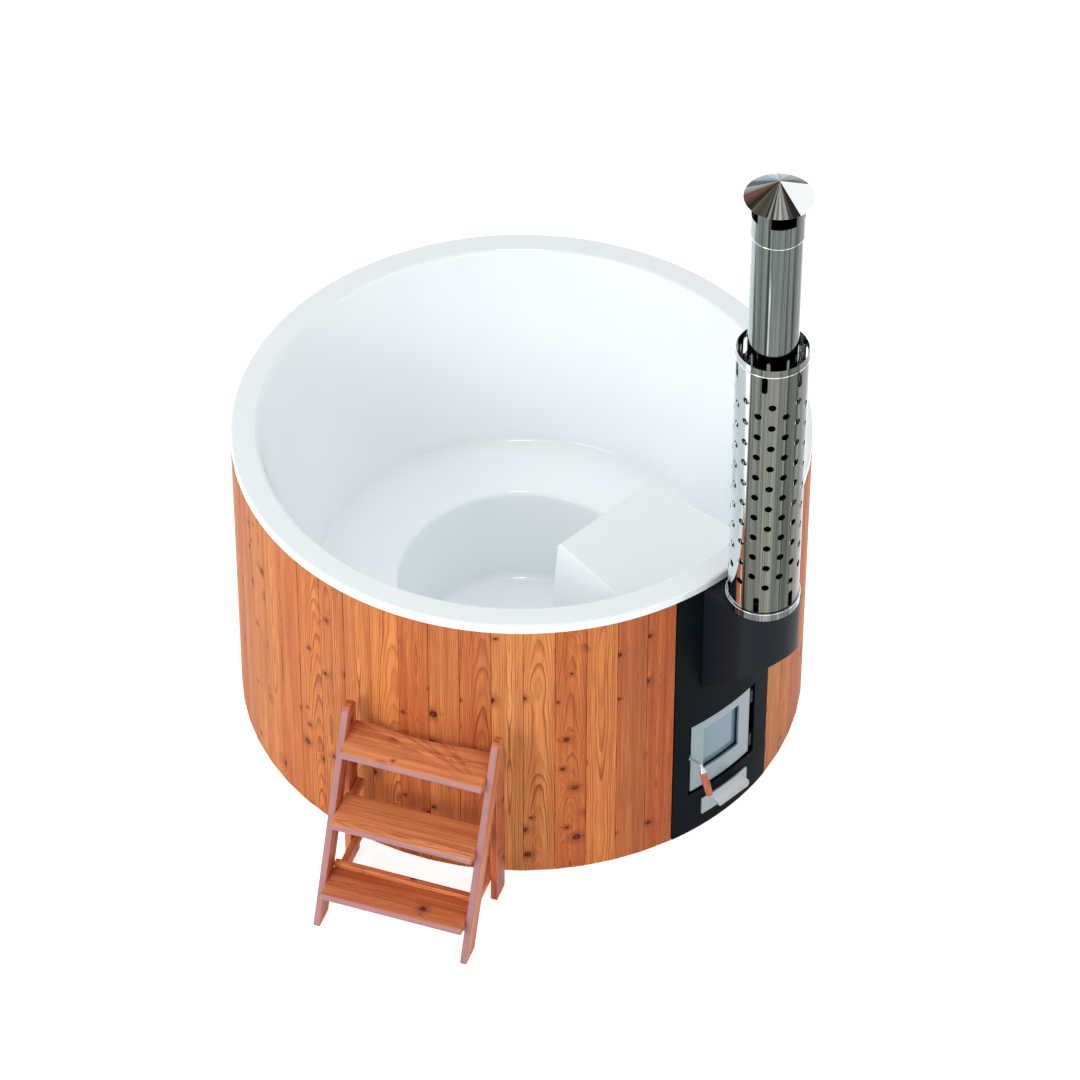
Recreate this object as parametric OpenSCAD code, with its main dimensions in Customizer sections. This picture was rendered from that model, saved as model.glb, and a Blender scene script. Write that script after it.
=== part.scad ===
// Round wooden hot tub with a built-in wood stove, outside flue and free-standing steps.
// Millimetres. The origin is on the floor at the tub's axis, +Z is up, and the stove faces -Y.
// An azimuth is measured from -Y towards +X, seen from above.

/* [Tub] */
// Outside diameter of the rim
tub_d = 1800; // [1600:10:2200]
// Height of the rim above the floor
tub_h = 1067; // [1040:1:1200]
// Width of the flat rim
rim_w = 82; // [60:1:120]
// Height of the rim's outer lip
rim_lip_h = 31; // [20:1:45]
// Wall of the moulded liner
liner_t = 6; // [4:0.5:10]
// Slope of the inner wall: how much narrower the tub is at the bench than at the rim, each side
wall_taper = 169; // [120:1:220]
// Height of the bench
bench_z = 400; // [360:1:450]
// Radius of the footwell at the bench
footwell_r = 396; // [330:1:430]
// Radius of the footwell at its floor
footwell_floor_r = 322; // [300:1:330]
// Height of the footwell's floor
floor_z = 100; // [90:1:140]

/* [Stove bay] */
// Room above the stove, under the top of the bay
bay_head_gap = 24; // [15:1:60]
// Room behind the stove, at the top of the bay
bay_back_gap = 29; // [20:1:60]
// Room on each side of the stove
bay_side_gap = 7; // [5:1:30]
// Angle by which each side of the bay spreads towards the wall
bay_flare = 7.1; // [4:0.1:12]
// Mould draft of the bay's faces
bay_draft = 3; // [1:0.5:5]
// Chamfer along the bay's upper edges
bay_edge = 9; // [4:1:16]

/* [Cladding] */
// Number of boards
board_count = 54; // [40:1:64]
// Thickness of a board
board_t = 28; // [20:1:34]
// Gap between the boards and the ground
board_ground_gap = 6; // [2:1:20]
// Bevel along a board's outer edges
board_bevel = 3; // [1:0.5:5]
// Angle taken up by the stove panel
panel_angle = 27; // [25:0.5:32]

/* [Stove] */
// Width of the stove's casing
stove_w = 370; // [340:1:380]
// Depth of the stove's front behind the tub's wall
stove_set_in = 70; // [60:1:100]
// Distance from the tub's axis to the casing's back
stove_back = 395; // [380:1:450]
// Height of the casing's top
stove_top_z = 900; // [860:1:910]
// Water gap between the casing and the firebox
water_gap = 40; // [25:1:50]

/* [Fire door] */
// Height of the door's lower edge
door_z = 180; // [175:1:190]
// Height of the door
door_h = 282; // [270:1:290]
// Azimuth of the door's left edge
door_left_az = -9; // [-9.4:0.1:-8.6]
// Azimuth of the door's right edge
door_right_az = 7.4; // [7:0.1:7.6]
// Width of the door's face round its window, at the sides
door_rail_w = 50; // [40:1:60]
// Width of the door's face above the window
door_head_w = 35; // [30:1:50]
// Width of the door's face below the window
door_foot_w = 71; // [60:1:80]
// Thickness of the door's face
door_face_t = 12; // [8:1:14]

/* [Flue] */
// Outside diameter of the flue pipe
flue_d = 150; // [130:1:160]
// Distance from the tub's wall to the flue's axis
flue_out = 130; // [120:1:160]
// Outside diameter of the heat shield
shield_d = 214; // [200:1:220]
// Height of the heat shield's top
shield_top_z = 2030; // [1800:1:2100]
// Height of the rain cap's rim
cap_rim_z = 2595; // [2300:1:2700]
// Diameter of the rain cap
cap_d = 202; // [180:1:230]
// Height of the rain cap's cone
cap_h = 56; // [40:1:80]
// Diameter of the shield's round holes
vent_d = 23; // [16:1:28]
// Spacing of the holes in one column
vent_pitch = 80; // [60:1:100]
// Columns of holes round the shield
vent_columns = 16; // [12:4:20]

/* [Steps] */
// Azimuth that the steps face
steps_az = -63.9; // [-90:0.1:-45]
// Sideways offset of the steps from that azimuth
steps_shift = 15.5; // [-40:0.5:40]
// Clear width between the two sides
steps_w = 457; // [400:1:520]
// Thickness of the side boards
side_t = 22; // [18:1:28]
// Width of the stiles and legs
stile_w = 70; // [55:1:90]
// Lean of the front stiles from the vertical
stile_lean = 24; // [18:0.5:28]
// Distance from the tub's wall to the foot of the steps
foot_out = 374; // [340:1:420]
// Height of the lowest tread's top
tread_z = 137; // [120:1:160]
// Rise from tread to tread
tread_rise = 216; // [190:1:230]
// Depth of a tread
tread_depth = 145; // [120:1:160]
// Thickness of a tread
tread_t = 27; // [22:1:34]
// Overhang of a tread's nose in front of the stile
tread_nose = 50; // [30:1:60]
// Clear space between the top tread and the tub
steps_gap = 30; // [15:1:50]

/* [Drain] */
// Outside diameter of the drain pipe
drain_d = 40; // [32:1:45]
// Distance from the tub's axis to the floor drain
drain_y = 230; // [150:5:260]
// Diameter of the hose tail
tail_d = 38; // [30:1:45]

/* [Hidden] */

$fn = 96;
cut = 1;            // how far a cutter runs past the face it cuts
seat = 0.3;         // gap between pieces that rest on or beside each other
hairline = 0.1;     // gap between curved faces that are clamped together
big = 1500;         // half size of a cutter that stands for a half-space

white = "#eef2f4";
larch = "#c9743a";
timber = "#b98a58";
black = "#23292e";
iron = "#3a3a3c";
satin = "#aeb8bd";
steel = "#c4c8ca";
mirror_steel = "#9aa0a2";
grip_wood = "#c8683c";

// ---- liner ----
rim_r = tub_d / 2;
rim_in_r = rim_r - rim_w;
lip_z = tub_h - rim_lip_h;
bench_back_r = rim_in_r - wall_taper;
stove_front = rim_r - stove_set_in;
flue_y = rim_r + flue_out;
bay_top_z = stove_top_z + liner_t + bay_head_gap;
bay_in = stove_back - liner_t - bay_back_gap;
bay_half_w = stove_w / 2 + liner_t + bay_side_gap;

function unit(v) = v / norm(v);
function left_of(v) = [-v[1], v[0]] / norm(v);
// A path moved sideways by d, to its left
function beside(p, d) = [for (i = [0 : len(p) - 1])
    let (n1 = left_of(i > 0 ? p[i] - p[i - 1] : p[1] - p[0]),
         n2 = left_of(i < len(p) - 1 ? p[i + 1] - p[i] : p[i] - p[i - 1]))
    p[i] + d * (n1 + n2) / (1 + n1 * n2)];
// The arc that rounds corner b of a-b-c with radius r
function corner(a, b, c, r) =
    let (u = unit(a - b), v = unit(c - b), half = acos(u * v) / 2,
         centre = b + unit(u + v) * r / sin(half),
         start = b + u * r / tan(half) - centre,
         turn = (180 - 2 * half) * (cross(u, v) > 0 ? -1 : 1), steps = 6)
    [for (i = [0 : steps]) let (t = turn * i / steps)
        centre + [start[0] * cos(t) - start[1] * sin(t), start[0] * sin(t) + start[1] * cos(t)]];
function rounded(p, r) = [for (i = [0 : len(p) - 1])
    each (r[i] > 0 ? corner(p[i - 1], p[i], p[i + 1], r[i]) : [p[i]])];
function reversed(p) = [for (i = [len(p) - 1 : -1 : 0]) p[i]];

rim_edge_r = 8;
rim_inner_r = 14;
seat_fillet = 16;
bench_nose_r = 20;
floor_fillet = 32;
wet_side = [[rim_r, lip_z], [rim_r, tub_h], [rim_in_r, tub_h], [bench_back_r, bench_z],
    [footwell_r, bench_z], [footwell_floor_r, floor_z], [0, floor_z]];
wet_radii = [0, rim_edge_r, rim_inner_r, seat_fillet, bench_nose_r, floor_fillet, 0];
dry_side = beside(wet_side, liner_t);
dry_radii = [0, rim_edge_r - liner_t, rim_inner_r - liner_t, seat_fillet + liner_t,
    bench_nose_r - liner_t, floor_fillet + liner_t, 0];
inside_dry = concat([[0, dry_side[2][1]]], [for (i = [2 : 6]) dry_side[i]]);
inside_radii = concat([0, 0], [for (i = [3 : 6]) dry_radii[i]]);

// Half-spaces: below a height, outside the bay's inner face, and left of its right side
module below(z) translate([-big, -big, z - big]) cube([2 * big, 2 * big, big]);
module behind_bay_face(gap) translate([0, -bay_in - gap, bay_top_z]) rotate([bay_draft, 0, 0])
    translate([-big, -big, -big]) cube([2 * big, big, 2 * big]);
module left_of_bay_side(gap) translate([bay_half_w - gap, -bay_in, bay_top_z])
    rotate([0, -bay_draft, bay_flare]) translate([-big, -big, -big]) cube([big, 2 * big, 2 * big]);
module above(z) translate([-big, -big, z]) cube([2 * big, 2 * big, big]);
// The drafted, flared box of the stove bay, drawn in by a gap on its top, face and sides
module bay_box(gap) intersection() {
    below(bay_top_z - gap);
    behind_bay_face(gap);
    left_of_bay_side(gap);
    mirror([1, 0, 0]) left_of_bay_side(gap);
}
// The same box with its three upper edges bevelled
module bay_block(gap) difference() {
    bay_box(gap);
    translate([0, -bay_in, bay_top_z]) rotate([-45, 0, 0]) above(-bay_edge / sqrt(2) - gap);
    for (s = [0, 1]) mirror([s, 0, 0]) translate([bay_half_w, -bay_in, bay_top_z])
        rotate([0, 45, bay_flare]) above(-bay_edge / sqrt(2) - gap);
}
function bay_face_y(z) = -bay_in + (bay_top_z - z) * tan(bay_draft);

port_z = [190, 800];
port_r = 24;
module at_port(z) translate([0, bay_face_y(z), z]) rotate([bay_draft, 0, 0]) children();
// A cylinder along -Y that starts at y = from
module along_y(r, from, length) translate([0, from, 0]) rotate([90, 0, 0]) cylinder(r = r, h = length);

drain_tube_r = drain_d / 2 + 4;
// The moulding is in four sections, which meet above the bench, under its nose and round the bay
wall_foot_z = bench_z + seat_fillet + liner_t;
bench_foot_z = bench_z - bench_nose_r - 2 * liner_t;
module round_shell() difference() {
    rotate_extrude() polygon(concat(rounded(wet_side, wet_radii),
        reversed(rounded(dry_side, dry_radii))));
    bay_block(-hairline);
}
module liner_wall() color(white) difference() {
    round_shell();
    below(wall_foot_z);
}
module liner_bench() color(white) difference() {
    round_shell();
    above(wall_foot_z - hairline);
    below(bench_foot_z);
}
module liner_footwell() color(white) difference() {
    round_shell();
    above(bench_foot_z - hairline);
    translate([0, drain_y, floor_z - 2 * liner_t]) cylinder(r = drain_tube_r + 1, h = 4 * liner_t);
}
module liner_bay() color(white) difference() {
    intersection() {
        bay_block(0);
        rotate_extrude() polygon(rounded(inside_dry, inside_radii));
    }
    bay_block(liner_t);
    for (z = port_z) at_port(z) along_y(port_r + 1, big / 4, big / 2);
}

// ---- cladding, rings and base ----
wall_r = rim_r;
wall_in_r = wall_r - board_t;
board_top_z = lip_z - 0.5;
board_step = (360 - panel_angle) / board_count;
board_half = board_step / 2;
joint = 0.5;
tongue_l = 6.5;
tongue_in = wall_in_r + board_t * 0.36;
tongue_out = wall_in_r + board_t * 0.60;
groove_play = 1.6;
drain_z = 70;
bearer_h = 28;
plate_t = 12;
deck_z = bearer_h + plate_t;

function side_x(r) = r * tan(board_half) - joint;
module board_outline(with_tongue) {
    bevel_r = wall_r - board_bevel;
    groove_l = tongue_l + 1.5;
    groove_out = tongue_out + groove_play;
    groove_in = tongue_in - groove_play;
    tongue = with_tongue ? [[side_x(tongue_in), tongue_in], [side_x(tongue_in) + tongue_l, tongue_in],
        [side_x(tongue_in) + tongue_l, tongue_out], [side_x(tongue_out), tongue_out]] : [];
    polygon(concat([[board_bevel - side_x(wall_r), wall_r], [-side_x(bevel_r), bevel_r],
        [-side_x(groove_out), groove_out], [groove_l - side_x(groove_out), groove_out],
        [groove_l - side_x(groove_out), groove_in], [-side_x(groove_in), groove_in],
        [-side_x(wall_in_r), wall_in_r], [side_x(wall_in_r), wall_in_r]], tongue,
        [[side_x(bevel_r), bevel_r], [side_x(wall_r) - board_bevel, wall_r]]));
}
module wall_boards() color(larch) difference() {
    for (i = [0 : board_count - 1])
        rotate([0, 0, 180 - panel_angle / 2 - board_half - i * board_step])
        translate([0, 0, board_ground_gap])
        linear_extrude(board_top_z - board_ground_gap) board_outline(i < board_count - 1);
    translate([0, 0, drain_z]) along_y(drain_d / 2 + 6, wall_r + cut, board_t * 2);
}

ring_w = 36;
ring_h = 42;
ring_out_r = wall_in_r - seat;
ring_half_cut = panel_angle / 2 + 3.9;
ring_z = [deck_z, (deck_z + lip_z) / 2, lip_z - ring_h - 12];
// A ring of rectangular section that leaves out a sector of half angle "gap" round the stove
module ring(r_in, r_out, h, gap) rotate_extrude(start = gap - 90, angle = 360 - 2 * gap)
    translate([r_in, 0]) square([r_out - r_in, h]);
module fixing_rings() color(timber) difference() {
    $fn = 180;
    for (z = ring_z) translate([0, 0, z]) ring(ring_out_r - ring_w, ring_out_r, ring_h, ring_half_cut);
    translate([0, 0, drain_z]) along_y(drain_d / 2 + 3, wall_r, board_t * 3);
}
module base_plate() color(timber) translate([0, 0, bearer_h])
    cylinder(r = wall_in_r - seat, h = plate_t, $fn = 180);
bearer_w = 70;
bearer_pitch = wall_in_r * 0.366;
module base_bearers() color(timber) for (i = [-2 : 2]) {
    y = i * bearer_pitch;
    half = sqrt(pow(wall_in_r - 4, 2) - pow(abs(y) + bearer_w / 2, 2));
    translate([-half, y - bearer_w / 2, 0]) cube([2 * half, bearer_w, bearer_h]);
}
module floor_insulation() color("#e6dcb8") difference() {
    translate([0, 0, deck_z]) cylinder(r = footwell_floor_r - floor_fillet - liner_t,
        h = floor_z - liner_t - deck_z);
    translate([-drain_tube_r - 6, drain_y - drain_tube_r - 6, deck_z - cut])
        cube([2 * drain_tube_r + 12, footwell_r, floor_z]);
}
bench_ring_t = 18;
bench_ring_z = bench_z - liner_t - bench_ring_t;
bench_mid_r = (footwell_r + bench_back_r) / 2 + 26;
post_w = 45;
bench_ring_w = 96;
post_azimuths = [45, 85, 125, 163];
// A flat ring under the bench, on posts that stand on the deck
module bench_frame() color(timber) {
    for (a = post_azimuths, s = [-1, 1]) rotate([0, 0, s * a])
        translate([-post_w / 2, -bench_mid_r - post_w / 2, deck_z])
        cube([post_w, post_w, bench_ring_z - deck_z - seat]);
    translate([0, 0, bench_ring_z])
        ring(bench_mid_r - bench_ring_w / 2, bench_mid_r + bench_ring_w / 2, bench_ring_t, 33);
}

// ---- stove panel ----
panel_t = 3;
panel_r = wall_r + 2;
panel_in_r = panel_r - panel_t;
panel_half = panel_angle / 2 - 0.15;
panel_return = 26;
return_angle = panel_t / panel_r * 180 / PI;
// A curved plate between two radii, two azimuths and two heights
module curved_plate(r_in, r_out, az0, az1, z0, z1) translate([0, 0, z0])
    rotate_extrude(start = az0 - 90, angle = az1 - az0) translate([r_in, 0])
    square([r_out - r_in, z1 - z0]);
function az_x(az, r) = r * sin(az);

door_top_z = door_z + door_h;
door_gap = 8;
door_front_r = panel_r - 6;
hinge_x = az_x(door_right_az, door_front_r) + 9;
hinge_y = 17 - rim_r;
panel_left_x = az_x(door_left_az, door_front_r) - 12;
panel_right_x = hinge_x + 12;
ash_half_w = 80;
ash_z = 66;
ash_h = 58;
ash_play = 6;
ash_head = 2;
flue_hole_play = 15;
flue_hole_low = flue_d * 0.71 + 15.5;
flue_hole_h = flue_d * 1.42 + 23;
module front_panel() color(black) difference() {
    union() {
        curved_plate(panel_in_r, panel_r, -panel_half, panel_half, board_ground_gap, board_top_z);
        for (s = [0, 1]) mirror([s, 0, 0]) curved_plate(panel_in_r - panel_return, panel_in_r + cut,
            panel_half - return_angle, panel_half, board_ground_gap, board_top_z);
    }
    translate([panel_left_x, -panel_r - cut, door_z - door_gap])
        cube([panel_right_x - panel_left_x, board_t, door_h + 2 * door_gap]);
    translate([-ash_half_w - ash_play, -panel_r - cut, ash_z - ash_head])
        cube([2 * (ash_half_w + ash_play), board_t, ash_h + 2 * ash_head]);
    translate([-flue_d / 2 - flue_hole_play, -panel_r - cut, flue_panel_z - flue_hole_low])
        cube([flue_d + 2 * flue_hole_play, board_t, flue_hole_h]);
}
batten_w = 45;
module panel_battens() color(timber) for (s = [0, 1]) mirror([s, 0, 0])
    rotate([0, 0, panel_half]) translate([seat, -wall_in_r + 1.5, deck_z])
    cube([batten_w, board_t, lip_z - 6 - deck_z]);

// ---- stove ----
casing_t = 4;
firebox_t = 5;
stove_bottom_z = 60;
stove_half_w = stove_w / 2;
chamber_half_w = stove_half_w - casing_t - water_gap;
chamber_top_z = stove_top_z - casing_t - water_gap;
chamber_back = stove_back + casing_t + water_gap;
throat_cx = az_x((door_left_az + door_right_az) / 2, door_front_r);
throat_cz = door_z + door_h / 2;
door_lap_w = 18;
door_lap_h = 21;
throat_w = az_x(door_right_az - door_left_az, door_front_r) - 2 * door_lap_w;
throat_h = door_h - 2 * door_lap_h;
throat_t = 12;

// The flue leaves the casing's front at 45 degrees and bends up to the vertical
flue_r = flue_d / 2;
bend_r = 150;
flue_start_z = 748;
bend_drop = bend_r * sin(45);
bend_in = bend_r * (1 - cos(45));
run_y = flue_y - stove_front - bend_in;
bend_z = flue_start_z + run_y + bend_drop;
flue_run = run_y * sqrt(2);
flue_panel_z = flue_start_z + panel_r - stove_front;
module on_flue_slope() translate([0, -stove_front, flue_start_z]) rotate([45, 0, 0]) children();

// An upright block between two corners
module block(x0, x1, y0, y1, z0, z1) translate([x0, y0, z0]) cube([x1 - x0, y1 - y0, z1 - z0]);

// The casing's front, wide enough to carry the latch keeper
module stove_front_plate() color(iron) difference() {
    half = max(stove_half_w, keeper_out - latch_x + 5);
    block(-half, half, -stove_front, casing_t - stove_front, stove_bottom_z, stove_top_z);
    translate([throat_cx, 0, throat_cz]) block(-throat_w / 2, throat_w / 2, -stove_front - cut,
        -stove_front + 2 * casing_t, -throat_h / 2, throat_h / 2);
    block(-ash_half_w - ash_play, ash_half_w + ash_play, -stove_front - cut,
        2 * casing_t - stove_front, ash_z, ash_z + ash_h + ash_head);
    on_flue_slope() translate([0, 0, -flue_r]) cylinder(r = flue_r - 2, h = 2 * flue_r);
}
module stove_casing() color(iron) difference() {
    block(-stove_half_w, stove_half_w, casing_t + hairline - stove_front, -stove_back,
        stove_bottom_z, stove_top_z);
    block(casing_t - stove_half_w, stove_half_w - casing_t, -stove_front,
        -stove_back - casing_t, ash_z, stove_top_z - casing_t);
    for (z = port_z) at_port(z) along_y(port_r - 4, 0, 2 * (stove_back - bay_in));
}
ledge_w = 14;
ledge_t = 5;
grate_z = 160;
baffle_z = 600;
baffle_t = 6;
baffle_start = 130; // gap for the smoke between the stove's front and the baffle
module firebox() color(iron) {
    front = casing_t - stove_front;
    difference() {
        block(-chamber_half_w - firebox_t, chamber_half_w + firebox_t, front,
            -chamber_back + firebox_t, ash_z, chamber_top_z + firebox_t);
        block(-chamber_half_w, chamber_half_w, front - cut, -chamber_back, ash_z - cut, chamber_top_z);
    }
    for (s = [0, 1], z = [grate_z, baffle_z]) mirror([s, 0, 0])
        block(chamber_half_w - ledge_w, chamber_half_w + cut, front + 6, -chamber_back, z - ledge_t, z);
}
grate_t = 14;
plate_play = 1.5;
slot_w = 10;
slot_pitch = 20;
slot_l = 160;
slot_span = 110;    // from the middle to the outermost slots
slot_starts = [30, 210];
module fire_grate() color(iron) difference() {
    half = chamber_half_w - plate_play;
    block(-half, half, 12 - stove_front, -chamber_back - 2, grate_z + seat, grate_z + grate_t);
    for (x = [-slot_span : slot_pitch : slot_span], start = slot_starts)
        block(x - slot_w / 2, x + slot_w / 2, start - stove_front, start + slot_l - stove_front,
            grate_z - cut, grate_z + grate_t + cut);
}
module baffle_plate() color(iron)
    block(plate_play - chamber_half_w, chamber_half_w - plate_play, baffle_start - stove_front,
        -chamber_back - 1, baffle_z + seat, baffle_z + baffle_t);
foot_r = 15;
foot_inset = 35;
module stove_feet() color(iron) for (x = [foot_inset - stove_half_w, stove_half_w - foot_inset],
        y = [foot_inset + 5 - stove_front, -stove_back - foot_inset])
    translate([x, y, deck_z]) cylinder(r = foot_r, h = stove_bottom_z - deck_z);

// ---- fire door ----
rope_t = 6;
rib_depth = 15;
rib_w = 0.8;        // degrees
rib_rail = 13;
rib_inset = 3;
rib_left_az = door_left_az + 0.1;
rib_right_az = door_right_az - 0.16;
face_back_r = door_front_r - door_face_t;
rib_back_r = face_back_r - rib_depth;
throat_front_r = rib_back_r - rope_t - seat;
rail_az = door_rail_w / door_front_r * 180 / PI;
win_left_az = door_left_az + rail_az;
win_right_az = door_right_az - rail_az * 1.05;
win_z = door_z + door_foot_w;
win_top_z = door_top_z - door_head_w;
glass_lap = 10;
glass_lap_az = 0.7;

// A rectangular duct along -Y from the stove's front, trimmed to a radius about the tub's axis
module duct(cx, half_w, z0, z1, wall, r) difference() {
    translate([cx, 0, 0]) linear_extrude(z1 + wall) intersection() {
        translate([-half_w - wall, -r]) square([2 * (half_w + wall), r - stove_front]);
        translate([-cx, 0]) circle(r, $fn = 360);
    }
    block(-big, big, -big, big, -cut, z0 - wall);
    block(cx - half_w, cx + half_w, -big, cut - stove_front, z0, z1);
}
module door_throat() color(iron) duct(throat_cx, throat_w / 2, throat_cz - throat_h / 2,
    throat_cz + throat_h / 2, throat_t, throat_front_r);
module ash_sleeve() color(iron) duct(0, ash_half_w + ash_play, ash_z, ash_z + ash_h + ash_head,
    firebox_t, panel_in_r - seat);
latch_x = az_x(door_left_az, door_front_r) - 0.5;
latch_z = door_z + 151;
latch_r = 4;
latch_out_y = -rim_r - 29;
hinge_zs = [door_z + 45, door_top_z - 47];
pin_r = 4;
pin_play = 0.08;
knuckle_r = 7;
knuckle_half = 8;
module door_frame() color(satin) difference() {
    union() {
        curved_plate(face_back_r, door_front_r, door_left_az, door_right_az, door_z, door_top_z);
        difference() {
            curved_plate(rib_back_r, face_back_r + 1, rib_left_az, rib_right_az,
                door_z + rib_inset, door_top_z - rib_inset);
            curved_plate(rib_back_r - cut, face_back_r, rib_left_az + rib_w, rib_right_az - rib_w,
                door_z + rib_inset + rib_rail, door_top_z - rib_inset - rib_rail);
        }
        translate([latch_x, 0, latch_z]) along_y(latch_r + 5, -face_back_r * cos(door_left_az) + 1, 14);
        for (z = hinge_zs) translate([0, 0, z - knuckle_half]) {
            translate([hinge_x, hinge_y, 0]) cylinder(r = knuckle_r, h = 2 * knuckle_half);
            block(hinge_x - 16, hinge_x, hinge_y - 4, hinge_y + 2, 0, 2 * knuckle_half);
        }
    }
    curved_plate(face_back_r - cut, door_front_r + cut, win_left_az, win_right_az, win_z, win_top_z);
    translate([latch_x, 0, latch_z]) along_y(latch_r + pin_play, -stove_front, 100);
    for (z = hinge_zs) translate([hinge_x, hinge_y, z - 20]) cylinder(r = pin_r + pin_play, h = 40);
}
glass_t = 4;
gasket_t = 2.5;
module pane(r_out, t) curved_plate(r_out - t, r_out, win_left_az - glass_lap_az,
    win_right_az + glass_lap_az, win_z - glass_lap, win_top_z + glass_lap);
module pane_ring(r_out, t, hem) difference() {
    pane(r_out, t);
    curved_plate(r_out - t - cut, r_out + cut, win_left_az + hem / 16, win_right_az - hem / 16,
        win_z + hem, win_top_z - hem);
}
glass_r = face_back_r - gasket_t - 2 * hairline;
module glass_gasket() color("#111315") pane_ring(face_back_r - hairline, gasket_t, 1);
module door_glass() color([0.55, 0.65, 0.7, 0.45]) pane(glass_r, glass_t);
module glass_retainer() color(satin) pane_ring(glass_r - glass_t - hairline, 4, 6);
module door_rope_seal() color("#1c1c1c") difference() {
    curved_plate(rib_back_r - rope_t, rib_back_r, rib_left_az, rib_right_az,
        door_z + rib_inset, door_top_z - rib_inset);
    curved_plate(rib_back_r - rope_t - cut, rib_back_r + cut, rib_left_az + rib_w,
        rib_right_az - rib_w, door_z + rib_inset + rib_rail, door_top_z - rib_inset - rib_rail);
}
bracket_half = 24;
bracket_t = 6;
module hinge_brackets() color(black) difference() {
    for (z = hinge_zs) translate([hinge_x, 0, z]) {
        for (s = [0, 1]) mirror([0, 0, s]) {
            translate([0, hinge_y, knuckle_half + seat])
                cylinder(r = knuckle_r, h = bracket_half - knuckle_half - seat);
            block(-bracket_t / 2, bracket_t / 2, hinge_y, -stove_front, knuckle_half + seat,
                bracket_half);
        }
        block(-bracket_t / 2, bracket_t / 2, hinge_y + 20, -stove_front, -bracket_half,
            bracket_half);
    }
    for (z = hinge_zs) translate([hinge_x, hinge_y, z - 40]) cylinder(r = pin_r + 0.05, h = 80);
}
module hinge_pins() color(steel) for (z = hinge_zs) translate([hinge_x, hinge_y, z - bracket_half]) {
    cylinder(r = pin_r, h = 2 * bracket_half + seat);
    translate([0, 0, 2 * bracket_half + seat]) cylinder(r = pin_r + 2, h = 3);
}
tongue_y = -throat_front_r + 1;
tongue_t = 4;
grip_lean = 21.8;
tang_l = 62;
tang_play = 0.1;
grip_top = 26;
grip_l = 84;
module latch_shaft() color(steel) {
    translate([latch_x, 0, latch_z]) {
        along_y(latch_r, tongue_y + tongue_t, tongue_y + tongue_t - latch_out_y);
        block(-5, 5, tongue_y, tongue_y + tongue_t, 0, 25);
        translate([0, latch_out_y, 0]) {
            sphere(r = latch_r);
            rotate([-grip_lean, 0, 0]) translate([0, 0, -tang_l]) cylinder(r = latch_r - 0.5, h = tang_l);
        }
    }
}
// Puts a shape, drawn from its top end down along -Z, on the handle's leaning axis
module on_handle() translate([latch_x, latch_out_y, latch_z]) rotate([-grip_lean, 0, 0]) children();
module handle_ferrule() color(steel) on_handle() difference() {
    translate([0, 0, -grip_top]) cylinder(r1 = 11.5, r2 = 5, h = 18);
    translate([0, 0, -grip_top - cut]) cylinder(r = latch_r - 0.5 + tang_play, h = grip_top);
}
module handle_grip() color(grip_wood) on_handle() difference() {
    translate([0, 0, -grip_top - grip_l]) rotate_extrude() polygon([[0, 0], [9, 0], [11, 3],
        [11.6, 40], [11.2, grip_l - 4], [10.5, grip_l], [0, grip_l]]);
    translate([0, 0, -tang_l - 0.5]) cylinder(r = latch_r - 0.5 + tang_play, h = tang_l);
}
keeper_half = 15;
keeper_out = 35;
keeper_t = 4;
module latch_keeper() color(iron) translate([latch_x, 0, latch_z]) {
    front = tongue_y - tongue_t;
    block(-keeper_out, keeper_t - keeper_out, front, -stove_front, -keeper_half, keeper_half);
    block(-keeper_out, -11, front, tongue_y - 0.4, -keeper_half, keeper_half);
}

// ---- ash drawer ----
drawer_gap = 0.6;
drawer_front_t = 4;
drawer_in_r = panel_r + drawer_gap;
drawer_out_r = drawer_in_r + drawer_front_t;
drawer_front_half = 101;
drawer_front_z = 62;
drawer_front_h = 69;
drawer_corner = 6;
module rounded_rect(w, h, r) {
    translate([-w / 2 + r, 0]) square([w - 2 * r, h]);
    translate([-w / 2, r]) square([w, h - 2 * r]);
    for (x = [r - w / 2, w / 2 - r], y = [r, h - r]) translate([x, y]) circle(r);
}
tray_t = 2;
tray_back = -chamber_back - 30;
module ash_tray() color(steel) intersection() {
    difference() {
        block(-ash_half_w, ash_half_w, -panel_r - 8, tray_back, ash_z + seat, ash_z + ash_h - 6);
        block(tray_t - ash_half_w, ash_half_w - tray_t, 10 - panel_r, tray_back - tray_t,
            ash_z + seat + tray_t, ash_z + ash_h);
    }
    cylinder(r = drawer_in_r - hairline, h = tub_h, $fn = 360);
}
module ash_drawer_front() color(satin) intersection() {
    curved_plate(drawer_in_r, drawer_out_r, -panel_half, panel_half, 0, tub_h);
    translate([0, -stove_front, drawer_front_z]) rotate([90, 0, 0])
        linear_extrude(big / 4) rounded_rect(2 * drawer_front_half, drawer_front_h, drawer_corner);
}
pull_w = 138;
pull_out = 39;
pull_t = 2.5;
pull_cx = -5;
pull_lip_h = 18;
pull_z = 128;
pull_flare = 4;
pull_edge = -drawer_out_r - pull_out;
module ash_drawer_pull() color(satin) difference() {
    translate([pull_cx - pull_w / 2, 0, pull_z]) rotate([90, 0, 90]) linear_extrude(pull_w)
        polygon([[-stove_front, 0], [pull_edge, 0], [pull_edge - pull_flare, -pull_lip_h],
            [pull_edge - pull_flare + pull_t, -pull_lip_h], [pull_edge + pull_t, -pull_t],
            [-stove_front, -pull_t]]);
    cylinder(r = drawer_out_r + hairline, h = tub_h, $fn = 360);
    for (s = [-1, 1]) translate([pull_cx + s * pull_w / 2, pull_edge, pull_z - pull_lip_h])
        rotate([0, 45, 0]) cube([10, 3 * pull_flare, 10], center = true);
}

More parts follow.
